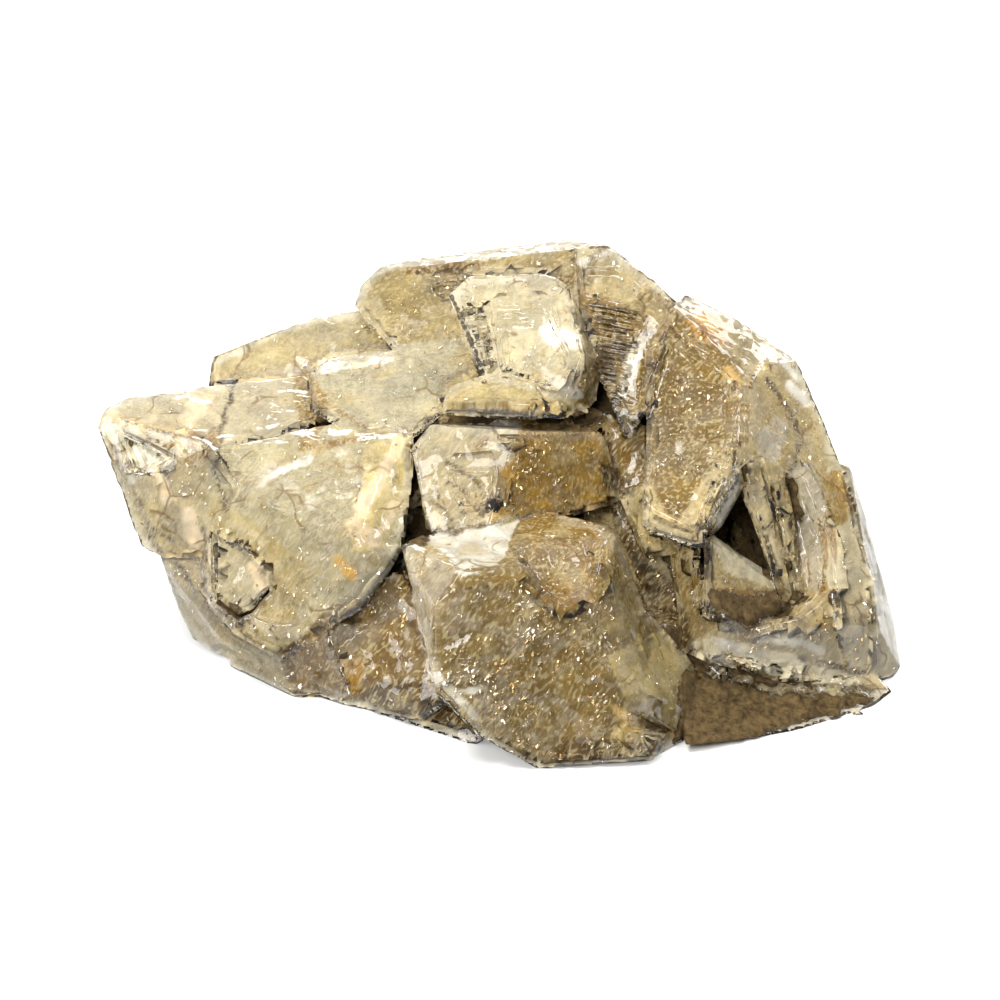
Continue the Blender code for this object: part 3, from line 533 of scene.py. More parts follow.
def mean_around(values, known, reach, jump):
    """The mean of each place's neighbours in the grid that differ from it by less than a jump."""
    total = np.zeros_like(values)
    count = np.zeros_like(values)
    for down in range(-reach, reach + 1):
        for across in range(-reach, reach + 1):
            beside = np.roll(values, (down, across), (0, 1))
            counted = np.roll(known, (down, across), (0, 1)) & (np.abs(beside - values) < jump)
            total += beside * counted
            count += counted
    return total / np.maximum(count, 1.0)


def pokes_out(face):
    """Whether any part of a face lies outside the crystal surface, tested at a few places of it."""
    middle = face.calc_center_median()
    spots = [middle]
    for vert in face.verts:
        spots.append(middle.lerp(vert.co, 0.5))
    for edge in face.edges:
        spots.append((edge.verts[0].co + edge.verts[1].co) / 2.0)
    for spot in spots:
        near_place, near_normal, _, away = fine_tree.find_nearest(spot)
        if away > OUTSIDE_AT_MOST * MM and (spot - near_place).dot(near_normal) > 0.0:
            return True
    return False


sheet = grid_in_view()
landed, ahead, thickness, slope = drop_on_group(sheet)
found = ~np.isnan(landed[:, 0])
landed = np.nan_to_num(landed)
grid_shape = (SHEET_ROWS + 1, SHEET_COLUMNS + 1)
near = ((landed / MM - AIM) @ NEARER).reshape(grid_shape)
known = found.reshape(grid_shape)
creases = np.clip(near - mean_around(near, known, 4, 1000.0), -1.0, 1.0).ravel()
even = mean_around(near, known, SMOOTH_REACH, SMOOTH_JUMP).ravel()
coverage = mean_around(known.astype(float), known | True, 5, 2.0).ravel()
near = near.ravel()
ripple = PHANTOM_RELIEF * (noise(landed, 1.6, 61, 3) - 0.5)
goal = np.minimum(near - LEAST_DEPTH / np.maximum(slope, 0.3), even - PHANTOM_DEPTH + ripple)
sink = np.minimum((near - goal) * MM, 0.5 * thickness)
sunk = landed + ahead * sink[:, None]
for vert, place in zip(sheet.verts, sunk):
    vert.co = place
    near_place, near_normal, _, _ = fine_tree.find_nearest(vert.co)
    if (vert.co - near_place).dot(near_normal) > 0.0:
        vert.co = near_place - near_normal * LEAST_COVER * MM
nearness = (sunk / MM - AIM) @ NEARER
torn = []
for face in sheet.faces:
    numbers = [vert.index for vert in face.verts]
    depths = nearness[numbers]
    if not found[numbers].all() or depths.max() - depths.min() > SHEET_TEAR:
        torn.append(face)
crease_layer = sheet.verts.layers.float.new("crease")
rim_layer = sheet.verts.layers.float.new("rim")
for vert, crease, covered_share in zip(sheet.verts, creases, coverage):
    vert[crease_layer] = crease
    vert[rim_layer] = 1.0 - covered_share
bmesh.ops.delete(sheet, geom=torn, context="FACES_ONLY")
loose = [vert for vert in sheet.verts if not vert.link_faces]
bmesh.ops.delete(sheet, geom=loose, context="VERTS")
for _ in range(RIM_SMOOTHINGS):
    rim = [vert for vert in sheet.verts if vert.is_boundary]
    bmesh.ops.smooth_vert(
        sheet, verts=rim, factor=0.5, use_axis_x=True, use_axis_y=True, use_axis_z=True
    )
outside = [face for face in sheet.faces if pokes_out(face)]
bmesh.ops.delete(sheet, geom=outside, context="FACES")
bmesh.ops.recalc_face_normals(sheet, faces=sheet.faces[:])
print("phantom sheet:", len(sheet.faces), "squares,", len(outside), "outside left out")

# %% [markdown]
# A second phantom runs all round the group under every face, the hidden ones too. It is a coarser
# copy of the solid, moved in along its normals: just under the faces that the first phantom
# doesn't reach, and well below the first one elsewhere. Where that brings it outside or too near
# to the surface, as in thin ledges, its faces are left out.

# %% Phantom all round
DEEP_EDGE = 1.25
HIDDEN_SINK = 0.55
SEEN_SINK = 1.9
SINK_RELIEF = 0.4


def sees_camera(place, normal):
    """Whether a place on the surface faces the camera with nothing in between."""
    start = place + normal * RAY_LIFT
    return normal.dot(toward_camera) > 0.05 and solid_tree.ray_cast(start, toward_camera)[0] is None


deep = merged_copy(cad_quartz)
split_long_edges(deep, DEEP_EDGE, DEEP_EDGE)
wear_edges(deep)
deep_places = places_of(deep)
sink_relief = SINK_RELIEF * (noise(deep_places, 2.6, 71, 3) - 0.5)
covered = []
hidden = []
for vert, relief_here in zip(deep.verts, sink_relief):
    hidden.append(not sees_camera(vert.co, vert.normal))
    sink_here = (HIDDEN_SINK if hidden[-1] else SEEN_SINK) + relief_here
    place = vert.co - vert.normal * sink_here * MM
    near, normal, _, distance = fine_tree.find_nearest(place)
    covered.append((place - near).dot(normal) < 0.0 and distance > LEAST_COVER * MM)
    vert.co = place
hidden_layer = deep.verts.layers.float.new("hidden")
for vert, is_hidden in zip(deep.verts, hidden):
    vert[hidden_layer] = float(is_hidden)
bare = []
for face in deep.faces:
    if not all(covered[vert.index] for vert in face.verts) or pokes_out(face):
        bare.append(face)
bmesh.ops.delete(deep, geom=bare, context="FACES")
print("deep phantom:", len(deep.faces), "triangles,", len(bare), "left out")

# %% [markdown]
# Each outline gives a tone, from nearly white to smoky brown: mostly a crystal's own, but a few
# are painted light or shade, noted where they stand. The outlines below say, in mm in the view,
# where each tone shows. A later outline lies over an earlier one. The number is how much
# worm-like clay the face has, from 0 to 1.

# %% Tones of the crystals
TONES = [
    ("top slab", "#9c8850", 0.35,
     [(-15, 19), (-13, 23), (-6, 25), (10, 27), (16, 20), (8, 12), (-8, 12)]),
    ("top rim", "#ddd5bc", 0.0, [(-8, 23.6), (3, 25.2), (10, 26.6), (9, 25.2), (-7, 23)]),
    ("top groove", "#75561c", 0.5, [(-10, 22.6), (-6, 23.6), (7, 22.2), (6.5, 20.8), (-1, 21.6)]),
    ("back left", "#bfae7e", 0.3, [(-30, 8), (-29, 16), (-24, 19), (-12, 20), (-9, 13), (-16, 8)]),
    ("left tip", "#cbbd9a", 0.1,
     [(-41, 7), (-38, 11), (-20, 13), (-15, 9), (-15, 6), (-28, 3), (-38, 1)]),
    ("left cheek", "#bfae80", 0.4, [(-40, 7), (-30, 5), (-26, 1), (-28, -6), (-36, -5)]),
    # Painted reflection: the left bright triangle is toned near white where it mirrors a soft box.
    ("left bright face", "#e2dcc6", 0.0, [(-39, 7.5), (-32, 4), (-37, 1.5)]),
    ("left top", "#b0a788", 0.1, [(-20, 12), (-17, 15), (-3, 16), (-1, 12), (-9, 6), (-16, 7)]),
    ("left front", "#b3a884", 0.1,
     [(-29, 5), (-18, 8), (-9, 7), (-8, -2), (-10, -9), (-22, -17), (-30, -9)]),
    ("ochre dendrites", "#a98c4e", 1.0,
     [(-20.6, 12.4), (-18.8, 12.2), (-17.4, 10), (-18, 5.4), (-20, 4.4), (-20.4, 8)]),
    # Painted highlight: the edge face of the left crystal is toned cream.
    ("left edge cream", "#cdb878", 0.0,
     [(-13.5, 5), (-10.4, 6.4), (-9.6, 2), (-11.5, -4.8), (-15, -5), (-14, 0)]),
    ("left corner", "#b8a674", 0.15, [(-29, 1), (-18, -7), (-22, -15), (-26, -13), (-30, -9)]),
    ("left pane", "#c2b48e", 0.0,
     [(-29, -3), (-29, -9), (-26, -12), (-23, -9), (-23, -7), (-26, -5)]),
    ("left rim", "#bba873", 0.4,
     [(-35, -5), (-29, -9), (-22, -16), (-15, -19), (-20, -20.5), (-32, -14)]),
    ("left foot", "#7e6124", 0.6,
     [(-22, -15), (-12, -8.5), (-8, -7), (-6, -20), (-8, -23), (-20, -20)]),
    ("left foot yellow", "#b8861a", 0.3, [(-16, -16), (-13.6, -16.2), (-13.6, -19), (-15.6, -19)]),
    ("left toe", "#4b3814", 0.7, [(-16, -20), (-11, -18), (-6, -18), (-1, -24), (-9, -25)]),
    ("middle pale", "#bdae88", 0.1,
     [(-9.4, 5), (-7, 9), (2, 9), (2, 7), (-1.2, -2.2), (-5, -5), (-8, -3)]),
    ("middle brown", "#b58c30", 0.6,
     [(2, 9), (8.5, 8.5), (10.5, 6), (13, 0), (6, -2), (-1.2, -2.2), (2, 7)]),
    ("middle notch", "#5a3e10", 0.5, [(-2, 10), (2, 9.4), (1, 8), (-2, 8.6)]),
    ("sill", "#bda868", 0.25, [(-6, 8.4), (-5, 11.4), (-1, 12.6), (6, 10.8), (9.2, 8.6), (3, 8)]),
    ("upper", "#c2b796", 0.0,
     [(-5.4, 21), (-3, 23), (5, 23), (8, 20), (8.6, 13), (6.6, 9.6), (-1.6, 11.8)]),
    ("upper flank", "#8f7230", 0.6,
     [(7.6, 20), (8.4, 14), (6.6, 9.6), (10, 9.6), (10.4, 14), (8, 20.8)]),
    ("ridged", "#94793c", 0.5,
     [(8, 24), (16, 22), (17.4, 19.6), (14, 7.4), (10, 7), (9, 14), (6.6, 21)]),
    ("ridged window", "#b8a678", 0.3, [(7.6, 24), (12, 24), (14.6, 21.6), (13, 19.2), (8.6, 20.2)]),
    # Painted reflection: the right crystal's bright strip and its edge are toned near white where they
    # mirror a soft box.
    ("ridged mirror", "#f0ead8", 0.0,
     [(12.6, 14.7), (15.3, 15), (14.6, 13.4), (12.5, 9.2), (11.3, 7.9), (10.9, 8.2), (12, 9.8), (12.3, 12)]),
    ("ridged mirror edge", "#e6dfc8", 0.0, [(16.9, 20.3), (16.5, 20.3), (14.3, 16.1), (15, 16.3)]),
    ("right", "#82692e", 0.7,
     [(15, 21.8), (24, 18), (26, 12), (24.6, 3), (20, -4), (14, -3), (11, 6), (14, 14)]),
    ("right rim", "#bba878", 0.35,
     [(17, 20.4), (24, 18.5), (31, 14), (33, 7), (28, 3), (24.6, 4), (24.5, 12.5)]),
    ("right orange", "#c2871a", 0.2,
     [(18.8, 18), (21, 18.8), (22.8, 16.6), (22, 15), (19.4, 15.6)]),
    ("window frame", "#bda978", 0.3,
     [(17, -4), (20, 2), (26, 7), (31, 12), (35, 3), (38, -18), (18, -16)]),
    ("window inside", "#b19a62", 0.4,
     [(20, -4), (24, 4), (27, 6), (33, 1), (33.6, -9), (30, -13), (24, -14), (20.4, -11)]),
    ("window plate", "#d0c5a6", 0.0,
     [(23.8, 3.3), (21.5, 1), (20.8, -1.2), (20.8, -3.1), (21.7, -3.2), (22.8, -0.8), (24.1, 1.3)]),
    ("lilac pane", "#b8afa2", 0.0,
     [(27.4, 8.5), (28.6, 7.6), (28.4, 5.7), (27.2, 3.2), (25.5, 3.5), (25.6, 6.5)]),
    # Painted highlight: the window's light face is toned pale for the light it catches.
    ("window light face", "#ddd2ae", 0.0, [(20.8, -3.2), (27.2, -6.4), (27.4, -9), (22.4, -7.4)]),
    ("window clay", "#80602a", 0.7,
     [(21.4, -9), (27.4, -9), (29.4, -10.6), (25, -13.6), (21.4, -11.8)]),
    ("window rods", "#c0ae80", 0.2, [(24.4, 4), (28, 4), (30.2, -9), (28.4, -10), (25, 0)]),
    ("window right face", "#bdb29a", 0.1,
     [(28.6, 3.4), (31.4, 3.4), (33.4, -4), (33, -9.6), (30.6, -9)]),
    ("window left wall", "#8e7640", 0.4, [(16.6, -4), (20.2, -3.6), (22, -12.6), (18.4, -15)]),
    ("right end", "#dccfa9", 0.15,
     [(32.6, 3.6), (35, 3.4), (37.6, -4), (40.2, -16.6), (38.4, -19), (34, -18), (33, -4)]),
    ("right end yellow", "#b08c34", 0.2,
     [(32.4, 2.6), (34, 3), (35.4, -1), (34, -2.6), (32.4, -2)]),
    ("sill plate", "#efe5c6", 0.1,
     [(18.4, -14.6), (22, -13.6), (28, -15), (36, -16.6), (36, -18.6), (27, -18.4), (19, -16.4)]),
    # Partly clay brown, partly painted shade: the underside at the right end is toned dark.
    ("under", "#46340f", 0.1,
     [(17, -15.6), (27, -18.2), (36, -18.6), (39, -19), (37, -21), (26, -24), (18, -24.6)]),
    # Painted shade: the cleft, a deep valley between the front and right crystals, is toned dark brown.
    ("cleft", "#3c2b0c", 0.4,
     [(9.6, 4), (13, 2.4), (19, -12), (20.6, -18), (19, -20), (16.4, -16), (12.6, -6)]),
    ("ledge", "#b8a570", 0.2,
     [(12.4, 0.4), (15, 1), (17.4, -2.6), (17.4, -8), (15.4, -6.6), (13.6, -3)]),
    ("front", "#8a7440", 0.65,
     [(-8, -14), (-4, -7), (2, -2), (10.4, -2.8), (14.8, -12), (16, -21), (4, -27), (-6.6, -19.4)]),
    ("front left strip", "#a89a80", 0.2,
     [(-9, -4.4), (-4, -7.3), (-6.4, -10.8), (-6.4, -19.4), (-7.8, -14)]),
    # Painted reflection: the front crystal's bright facet is toned near white where it mirrors a soft box.
    ("front bright face", "#dcd9cf", 0.0,
     [(-8.2, -3.4), (2, -2), (1, -4.6), (-0.4, -7), (-3.8, -7.4)]),
    ("front window", "#8c6c28", 0.6,
     [(2.4, -1.6), (10, -2.6), (11.4, -6), (9, -11), (4.4, -11), (2.4, -5)]),
    ("front flank", "#8c7434", 0.25,
     [(10, -3), (12.4, -6), (16.4, -15.6), (14.4, -20), (9, -12), (10.4, -6)]),
    ("lobe", "#b9a56c", 0.2,
     [(10.6, -15.6), (16, -13), (19.4, -17), (20.4, -24), (15, -26.6), (11, -24), (12.6, -20)]),
    ("lobe yellow", "#c6a244", 0.1, [(11, -20.4), (13.6, -21), (18, -23.4), (12.9, -23.6)]),
    ("front bottom", "#5b4415", 0.6, [(6, -23.6), (14, -24), (19.6, -24.2), (16, -26.8), (4, -27)]),
]
DEFAULT_TONE = "#b5a170"
# Clay brown that the phantoms darken towards as painted shade in walled-in gaps and behind crystal edges.
SHADE_CLAY_BROWN = "#543a10"
OUTLINE_RAGGED = 0.4


def tone_and_clay(places):
    """The colour and the amount of worm-like clay at each place, ragged where colours meet."""
    view = seen_at(places)
    rights = view[:, 0] + OUTLINE_RAGGED * (noise(places, 2.2, 31, 3) - 0.5) * 2.0
    ups = view[:, 1] + OUTLINE_RAGGED * (noise(places, 2.2, 47, 3) - 0.5) * 2.0
    tones = np.tile(np.array(linear(DEFAULT_TONE)[:3]), (len(places), 1))
    clay = np.full(len(places), 0.4)
    for _, hex_colour, amount, corners in TONES:
        inside = inside_outline(rights, ups, corners)
        tones[inside] = linear(hex_colour)[:3]
        clay[inside] = amount
    return tones, clay


print(len(TONES), "toned outlines")

# %% [markdown]
# Over the tones lie single marks: dark cracks filled with clay, cream streaks where a healed
# crack is white, and small spots. Some cream, white and gold marks are painted highlights and
# glints, noted where they stand. A mark is a line through a few places in the view, with a
# width. A spot is a line of one place.

# %% Cracks, streaks and spots
CRACK = "#4a3311"
OCHRE = "#8d6a2a"
CREAM = "#f8dfb6"
WHITE = "#fbf7ec"
GOLD = "#e0ae48"
# Pale tone painted at the rims in place of light seen through thin clear edges.
RIM_TONE = "#d8d2bd"
MARKS = [
    (CRACK, 0.30, [(-5.2, 3.6), (-3.2, 2.8), (-1.7, 1.0), (-1.4, -1.6)]),
    (CRACK, 0.22, [(-5.0, 1.4), (-3.6, 0.9), (-2.4, -0.4)]),
    (CRACK, 0.22, [(-7.6, 0.2), (-5.8, -0.8), (-4.6, -2.2)]),
    (OCHRE, 0.55, [(-2.0, 5.2), (-1.2, 5.7)]),
    (CRACK, 0.60, [(-1.7, 9.4), (-0.4, 8.9), (1.4, 8.8)]),
    (CRACK, 0.45, [(7.8, 20.2), (8.6, 17.0), (9.8, 14.0)]),
    (CRACK, 0.30, [(-21.0, -15.5), (-18.0, -12.0), (-15.0, -10.2), (-12.0, -9.0)]),
    (OCHRE, 0.90, [(-20.4, -15.6), (-19.4, -17.8)]),
    (OCHRE, 0.35, [(-20.2, 12.0), (-18.4, 10.6), (-19.2, 7.6), (-18.2, 4.6)]),
    (OCHRE, 0.45, [(-18.4, 5.2), (-13.0, 6.2), (-9.4, 5.4)]),
    (CRACK, 0.45, [(-29.4, -3.0), (-29.3, -8.8), (-28.2, -10.8), (-26.2, -12.3), (-24.6, -11.6)]),
    (CRACK, 0.30, [(-26.6, 12.0), (-27.6, 8.0), (-28.4, 3.0), (-27.2, -1.0)]),
    (CRACK, 0.35, [(26.5, 12.0), (28.6, 9.0), (30.0, 6.0), (29.0, 3.0)]),
    (CRACK, 0.40, [(18.2, -4.0), (18.9, -7.4), (19.8, -10.1), (23.1, -12.8)]),
    (CRACK, 0.45, [(29.0, -13.3), (32.0, -15.0)]),
    (CRACK, 0.45, [(30.0, -15.8), (36.2, -17.2)]),
    (CRACK, 0.40, [(-8.9, 5.2), (-7.9, 2.0), (-8.3, -2.8), (-9.9, -4.3)]),
    (CRACK, 0.35, [(-9.0, 5.2), (-6.8, 7.8), (-3.0, 8.6), (2.0, 8.4), (8.4, 7.6)]),
    (CRACK, 0.35, [(-8.0, -2.8), (-4.8, -3.4), (0.0, -2.1), (6.0, -1.5)]),
    (CRACK, 0.55, [(-35.0, -2.6), (-34.0, -5.6), (-33.6, -8.2), (-32.0, -11.6)]),
    (CRACK, 0.30, [(-34.0, -5.6), (-31.6, -6.8), (-30.2, -9.6)]),
    (CRACK, 0.25, [(-36.6, 1.4), (-35.0, -2.6), (-32.6, -4.0)]),
    (CRACK, 0.25, [(-33.4, 3.6), (-32.6, 0.4), (-33.8, -2.0)]),
    (OCHRE, 0.60, [(-31.0, 3.8), (-29.2, 4.6), (-28.4, 6.6)]),
    (OCHRE, 0.50, [(-32.6, 5.4), (-30.8, 5.8)]),
    (CREAM, 0.75, [(-29.2, 10.2), (-30.6, 7.6), (-31.8, 5.6)]),
    (CREAM, 0.45, [(-30.4, 9.8), (-31.8, 8.0)]),
    (CREAM, 0.85, [(-33.6, 2.0), (-33.0, 0.0)]),
    (CREAM, 1.00, [(-31.0, -1.6), (-30.2, -4.2)]),
    (CREAM, 0.80, [(-24.4, -6.8), (-23.8, -8.4)]),
    # Painted highlight: cream streaks along the left crystal's edge face.
    (CREAM, 0.75, [(-10.0, 6.1), (-11.7, 2.5), (-14.0, -1.3), (-14.7, -2.8)]),
    (CREAM, 0.95, [(-14.7, -2.8), (-13.7, -3.9), (-12.7, -3.9)]),
    (CREAM, 0.40, [(-10.6, -0.3), (-11.4, -2.2), (-12.4, -3.6)]),
    (OCHRE, 0.22, [(-17.3, 9.4), (-13.4, 6.9), (-11.0, 6.6), (-8.1, 6.1)]),
    (WHITE, 0.55, [(22.1, -14.1), (23.9, -15.1), (25.4, -16.0), (27.1, -16.9)]),
    (WHITE, 0.50, [(25.6, -13.6), (29.9, -14.1), (31.9, -14.9)]),
    (OCHRE, 0.60, [(32.2, -9.4), (33.0, -6.0), (32.6, -2.0)]),
    (WHITE, 0.80, [(26.6, 15.0), (28.2, 14.2), (29.6, 12.4)]),
    (WHITE, 0.60, [(28.8, 11.4), (30.6, 9.6)]),
    # Painted glints on the top face of the middle crystal.
    (WHITE, 0.45, [(-3.0, 8.0), (-0.4, 7.6), (1.6, 7.2)]),
    # Painted reflection: the upper crystal's bright patch.
    (WHITE, 1.20, [(5.2, 16.6), (7.0, 15.8)]),
    (WHITE, 0.70, [(4.8, 12.4), (7.4, 10.6)]),
    # Painted glints: white sparkles on the front crystal.
    (WHITE, 0.55, [(-6.4, -17.6), (-2.6, -21.4)]),
    (WHITE, 0.35, [(-4.6, -19.2), (-1.6, -18.8)]),
    (WHITE, 0.40, [(-24.0, 1.6), (-19.0, 4.0)]),
    (WHITE, 0.45, [(-17.6, 12.8), (-11.0, 13.8)]),
    # Painted glints: gold glints on the right crystal's face.
    (GOLD, 0.70, [(22.6, 12.8), (23.8, 11.4)]),
    (GOLD, 0.55, [(11.6, -20.8), (13.0, -21.8)]),
    (GOLD, 0.45, [(23.6, -16.2), (24.6, -16.8)]),
    (GOLD, 0.60, [(-16.0, -5.8), (-14.8, -7.4)]),
    (GOLD, 0.40, [(19.6, 18.2), (21.4, 16.8)]),
]
MARK_RAGGED = 0.35


def distance_to_line(rights, ups, corners):
    """How far each view place lies from a line through the corners, in mm."""
    nearest = np.full(len(rights), np.inf)
    for start, end in zip(corners[:-1], corners[1:]):
        along = np.array(end) - np.array(start)
        share = ((rights - start[0]) * along[0] + (ups - start[1]) * along[1]) / (along @ along)
        share = np.clip(share, 0.0, 1.0)
        gap = np.hypot(rights - start[0] - share * along[0], ups - start[1] - share * along[1])
        nearest = np.minimum(nearest, gap)
    return nearest


def add_marks(places, tones, clay):
    """Paints the marks over the tones. A mark keeps the worm-like clay away."""
    view = seen_at(places)
    wander = MARK_RAGGED * (noise(places, 0.9, 91, 2) - 0.5) * 2.0
    swell = 0.6 + 0.8 * noise(places, 1.4, 95, 2)
    for hex_colour, width, corners in MARKS:
        away = distance_to_line(view[:, 0] + wander, view[:, 1] - wander, corners)
        share = 1.0 - smooth_step(away / (width * swell), 0.6, 1.0)
        tones += (np.array(linear(hex_colour)[:3]) - tones) * share[:, None]
        clay *= 1.0 - share
    return tones, clay


def paint_phantom(piece, crease, rim):
    """Writes each corner's tone, with painted shade, painted highlights and pale painted rims, and its
    amount of clay, for the material to read.
    """
    mesh = piece.data
    places = np.empty(len(mesh.vertices) * 3)
    mesh.vertices.foreach_get("co", places)
    places = places.reshape(-1, 3)
    tones, clay = tone_and_clay(places)
    tones, clay = add_marks(places, tones, clay)
    # Painted shade: the tone darkens towards clay brown where the surface is walled in and just behind a
    # nearer crystal's edge, and the clay amount rises with it.
    closed = 1.0 - smooth_step(openness_at(places), 0.10, 0.42)
    dark = np.clip(0.7 * closed + np.clip(-crease * 0.5 - 0.14, 0.0, 0.45), 0.0, 0.85)
    # Painted highlight: white is painted along crystal edges that stand nearer than their surroundings.
    bright = np.clip(crease * 0.45 - 0.10, 0.0, 0.22)
    tones += (np.array(linear(SHADE_CLAY_BROWN)[:3]) - tones) * dark[:, None]
    tones += (np.array(linear(WHITE)[:3]) - tones) * bright[:, None]
    # Painted light: near the open edges of the sheet, at silhouettes and tears, the tone turns pale,
    # standing in for light seen through thin clear rims.
    pale = 0.75 * smooth_step(rim + 0.3 * (noise(places, 2.5, 97, 3) - 0.5), 0.08, 0.34)
    tones += (np.array(linear(RIM_TONE)[:3]) - tones) * pale[:, None]
    clay = np.clip(clay + 0.4 * dark - pale, 0.0, 1.0)
    colours = np.column_stack([tones, np.ones(len(tones))])
    tone_layer = mesh.color_attributes.new("tone", "FLOAT_COLOR", "POINT")
    tone_layer.data.foreach_set("color", colours.ravel())
    clay_layer = mesh.attributes.new("clay", "FLOAT", "POINT")
    clay_layer.data.foreach_set("value", clay)


# %% [markdown]
# Clay on a phantom is earthy and matte, and quartz that is full of tiny bubbles is hazy and matte
# too, so the phantom has no shine of its own. Its look is built up in layers: the tone of the
# crystal from the piece's attribute, broad clouds of haze, the panes between old fractures, pale
# wisps, thin ochre fracture lines, worm-like clay threads and the finest pale grains.

# %% Ochre phantom
STROKE_LEAN = math.radians(32.0)
STROKE_STRETCH = 2.6
HAZE_CLOUDS = [
    ("yellow iron stain", "#b59346", 200.0, 0.55, 0.72, 0.45),
    ("cream haze", "#e9d7a6", 290.0, 0.55, 0.68, 0.45),
    ("smoky grey", "#a39883", 225.0, 0.50, 0.68, 0.60),
]
FINE_LAYERS = [
    ("pale wisps", "#ecdcb0", 620.0, 0.05, 0.0, 0.45, "open"),
    ("white wisps", "#efe7cf", 1250.0, 0.05, 0.0, 0.45, "clean"),
    ("clay threads", "#604210", 2300.0, 0.07, 0.012, 0.66, "clay"),
    ("clay blots", "#7d5c26", 1100.0, 0.035, 0.0, 0.50, "clay"),
]


def ochre_phantom():
    """Iron clay settled in layers in quartz: matte, hazy and full of fine ochre threads."""
    material = bpy.data.materials.new("ochre_clay_settled_in_quartz")
    material.use_nodes = True
    tree = material.node_tree
    tree.nodes.clear()
    where = node(tree, "ShaderNodeTexCoord").outputs["Object"]
    tone = node(tree, "ShaderNodeAttribute", {"attribute_name": "tone"}).outputs["Color"]
    clay = node(tree, "ShaderNodeAttribute", {"attribute_name": "clay"}).outputs["Fac"]
    strokes = node(
        tree,
        "ShaderNodeMapping",
        {"vector_type": "TEXTURE"},
        Vector=where,
        Rotation=(0.0, STROKE_LEAN, 0.0),
        Scale=(1.0, 1.0, STROKE_STRETCH),
    ).outputs["Vector"]

    clouds = node(
        tree, "ShaderNodeTexNoise", Vector=where, Scale=380.0, Detail=3.0, Roughness=0.62, Distortion=0.6
    )
    depth = node(
        tree,
        "ShaderNodeMapRange",
        Value=clouds.outputs["Fac"],
        From_Min=0.30,
        From_Max=0.70,
        To_Min=0.68,
        To_Max=1.30,
    )
    shade = depth.outputs["Result"]
    look = node(
        tree, "ShaderNodeVectorMath", {"operation": "SCALE"}, Vector=tone, Scale=shade
    ).outputs[0]
    for _, hex_colour, scale, low, high, most in HAZE_CLOUDS:
        cloud = node(tree, "ShaderNodeTexNoise", Vector=where, Scale=scale, Detail=2.5, Roughness=0.6)
        share = node(
            tree, "ShaderNodeMapRange", Value=cloud.outputs["Fac"], From_Min=low, From_Max=high, To_Max=most
        ).outputs["Result"]
        look = node(
            tree, "ShaderNodeMix", {"data_type": "RGBA"}, {0: share, 6: look, 7: linear(hex_colour)}
        ).outputs[2]

    warp = node(tree, "ShaderNodeTexNoise", Vector=where, Scale=330.0, Detail=1.0)
    warped = node(
        tree,
        "ShaderNodeVectorMath",
        {"operation": "MULTIPLY_ADD"},
        {0: warp.outputs["Color"], 1: (0.003, 0.003, 0.003), 2: where},
    ).outputs[0]
    panes = node(tree, "ShaderNodeTexVoronoi", Vector=warped, Scale=190.0)
    pane_hue = node(tree, "ShaderNodeSeparateColor", Color=panes.outputs["Color"]).outputs["Red"]
    pane_light = node(
        tree, "ShaderNodeMapRange", Value=pane_hue, To_Min=0.86, To_Max=1.14
    ).outputs["Result"]
    look = node(
        tree, "ShaderNodeVectorMath", {"operation": "SCALE"}, Vector=look, Scale=pane_light
    ).outputs[0]

    broken = node(tree, "ShaderNodeTexNoise", Vector=where, Scale=170.0, Detail=0.0)
    open_part = node(
        tree,
        "ShaderNodeMapRange",
        Value=broken.outputs["Fac"],
        From_Min=0.45,
        From_Max=0.6,
        To_Min=0.15,
    ).outputs["Result"]
    clean = node(
        tree, "ShaderNodeMapRange", Value=clay, From_Max=0.5, To_Min=1.0, To_Max=0.0
    ).outputs["Result"]
    amounts = {"open": open_part, "clay": clay, "clean": clean}
    for _, hex_colour, scale, low, high, most, amount in FINE_LAYERS:
        lines = node(
            tree,
            "ShaderNodeTexNoise",
            Vector=strokes,
            Scale=scale,
            Detail=2.5,
            Roughness=0.67,
            Distortion=0.9,
        )
        off_middle = node(
            tree, "ShaderNodeMath", {"operation": "SUBTRACT"}, {0: lines.outputs["Fac"], 1: 0.5}
        )
        ridge = node(tree, "ShaderNodeMath", {"operation": "ABSOLUTE"}, {0: off_middle.outputs[0]})
        drawn = node(
            tree, "ShaderNodeMapRange", Value=ridge.outputs[0], From_Min=low, From_Max=high, To_Max=most
        )
        share = node(
            tree,
            "ShaderNodeMath",
            {"operation": "MULTIPLY"},
            {0: drawn.outputs["Result"], 1: amounts[amount]},
        ).outputs[0]
        look = node(
            tree, "ShaderNodeMix", {"data_type": "RGBA"}, {0: share, 6: look, 7: linear(hex_colour)}
        ).outputs[2]

    seams = node(
        tree, "ShaderNodeTexVoronoi", {"feature": "DISTANCE_TO_EDGE"}, Vector=warped, Scale=190.0
    ).outputs["Distance"]
    seam = node(tree, "ShaderNodeMapRange", Value=seams, From_Min=0.035, From_Max=0.008, To_Max=0.75)
    parts = node(tree, "ShaderNodeTexNoise", Vector=where, Scale=260.0, Detail=1.0)
    kept = node(tree, "ShaderNodeMapRange", Value=parts.outputs["Fac"], From_Min=0.50, From_Max=0.60)
    share = node(
        tree,
        "ShaderNodeMath",
        {"operation": "MULTIPLY"},
        {0: seam.outputs["Result"], 1: kept.outputs["Result"]},
    ).outputs[0]
    look = node(
        tree, "ShaderNodeMix", {"data_type": "RGBA"}, {0: share, 6: look, 7: linear("#80602a")}
    ).outputs[2]

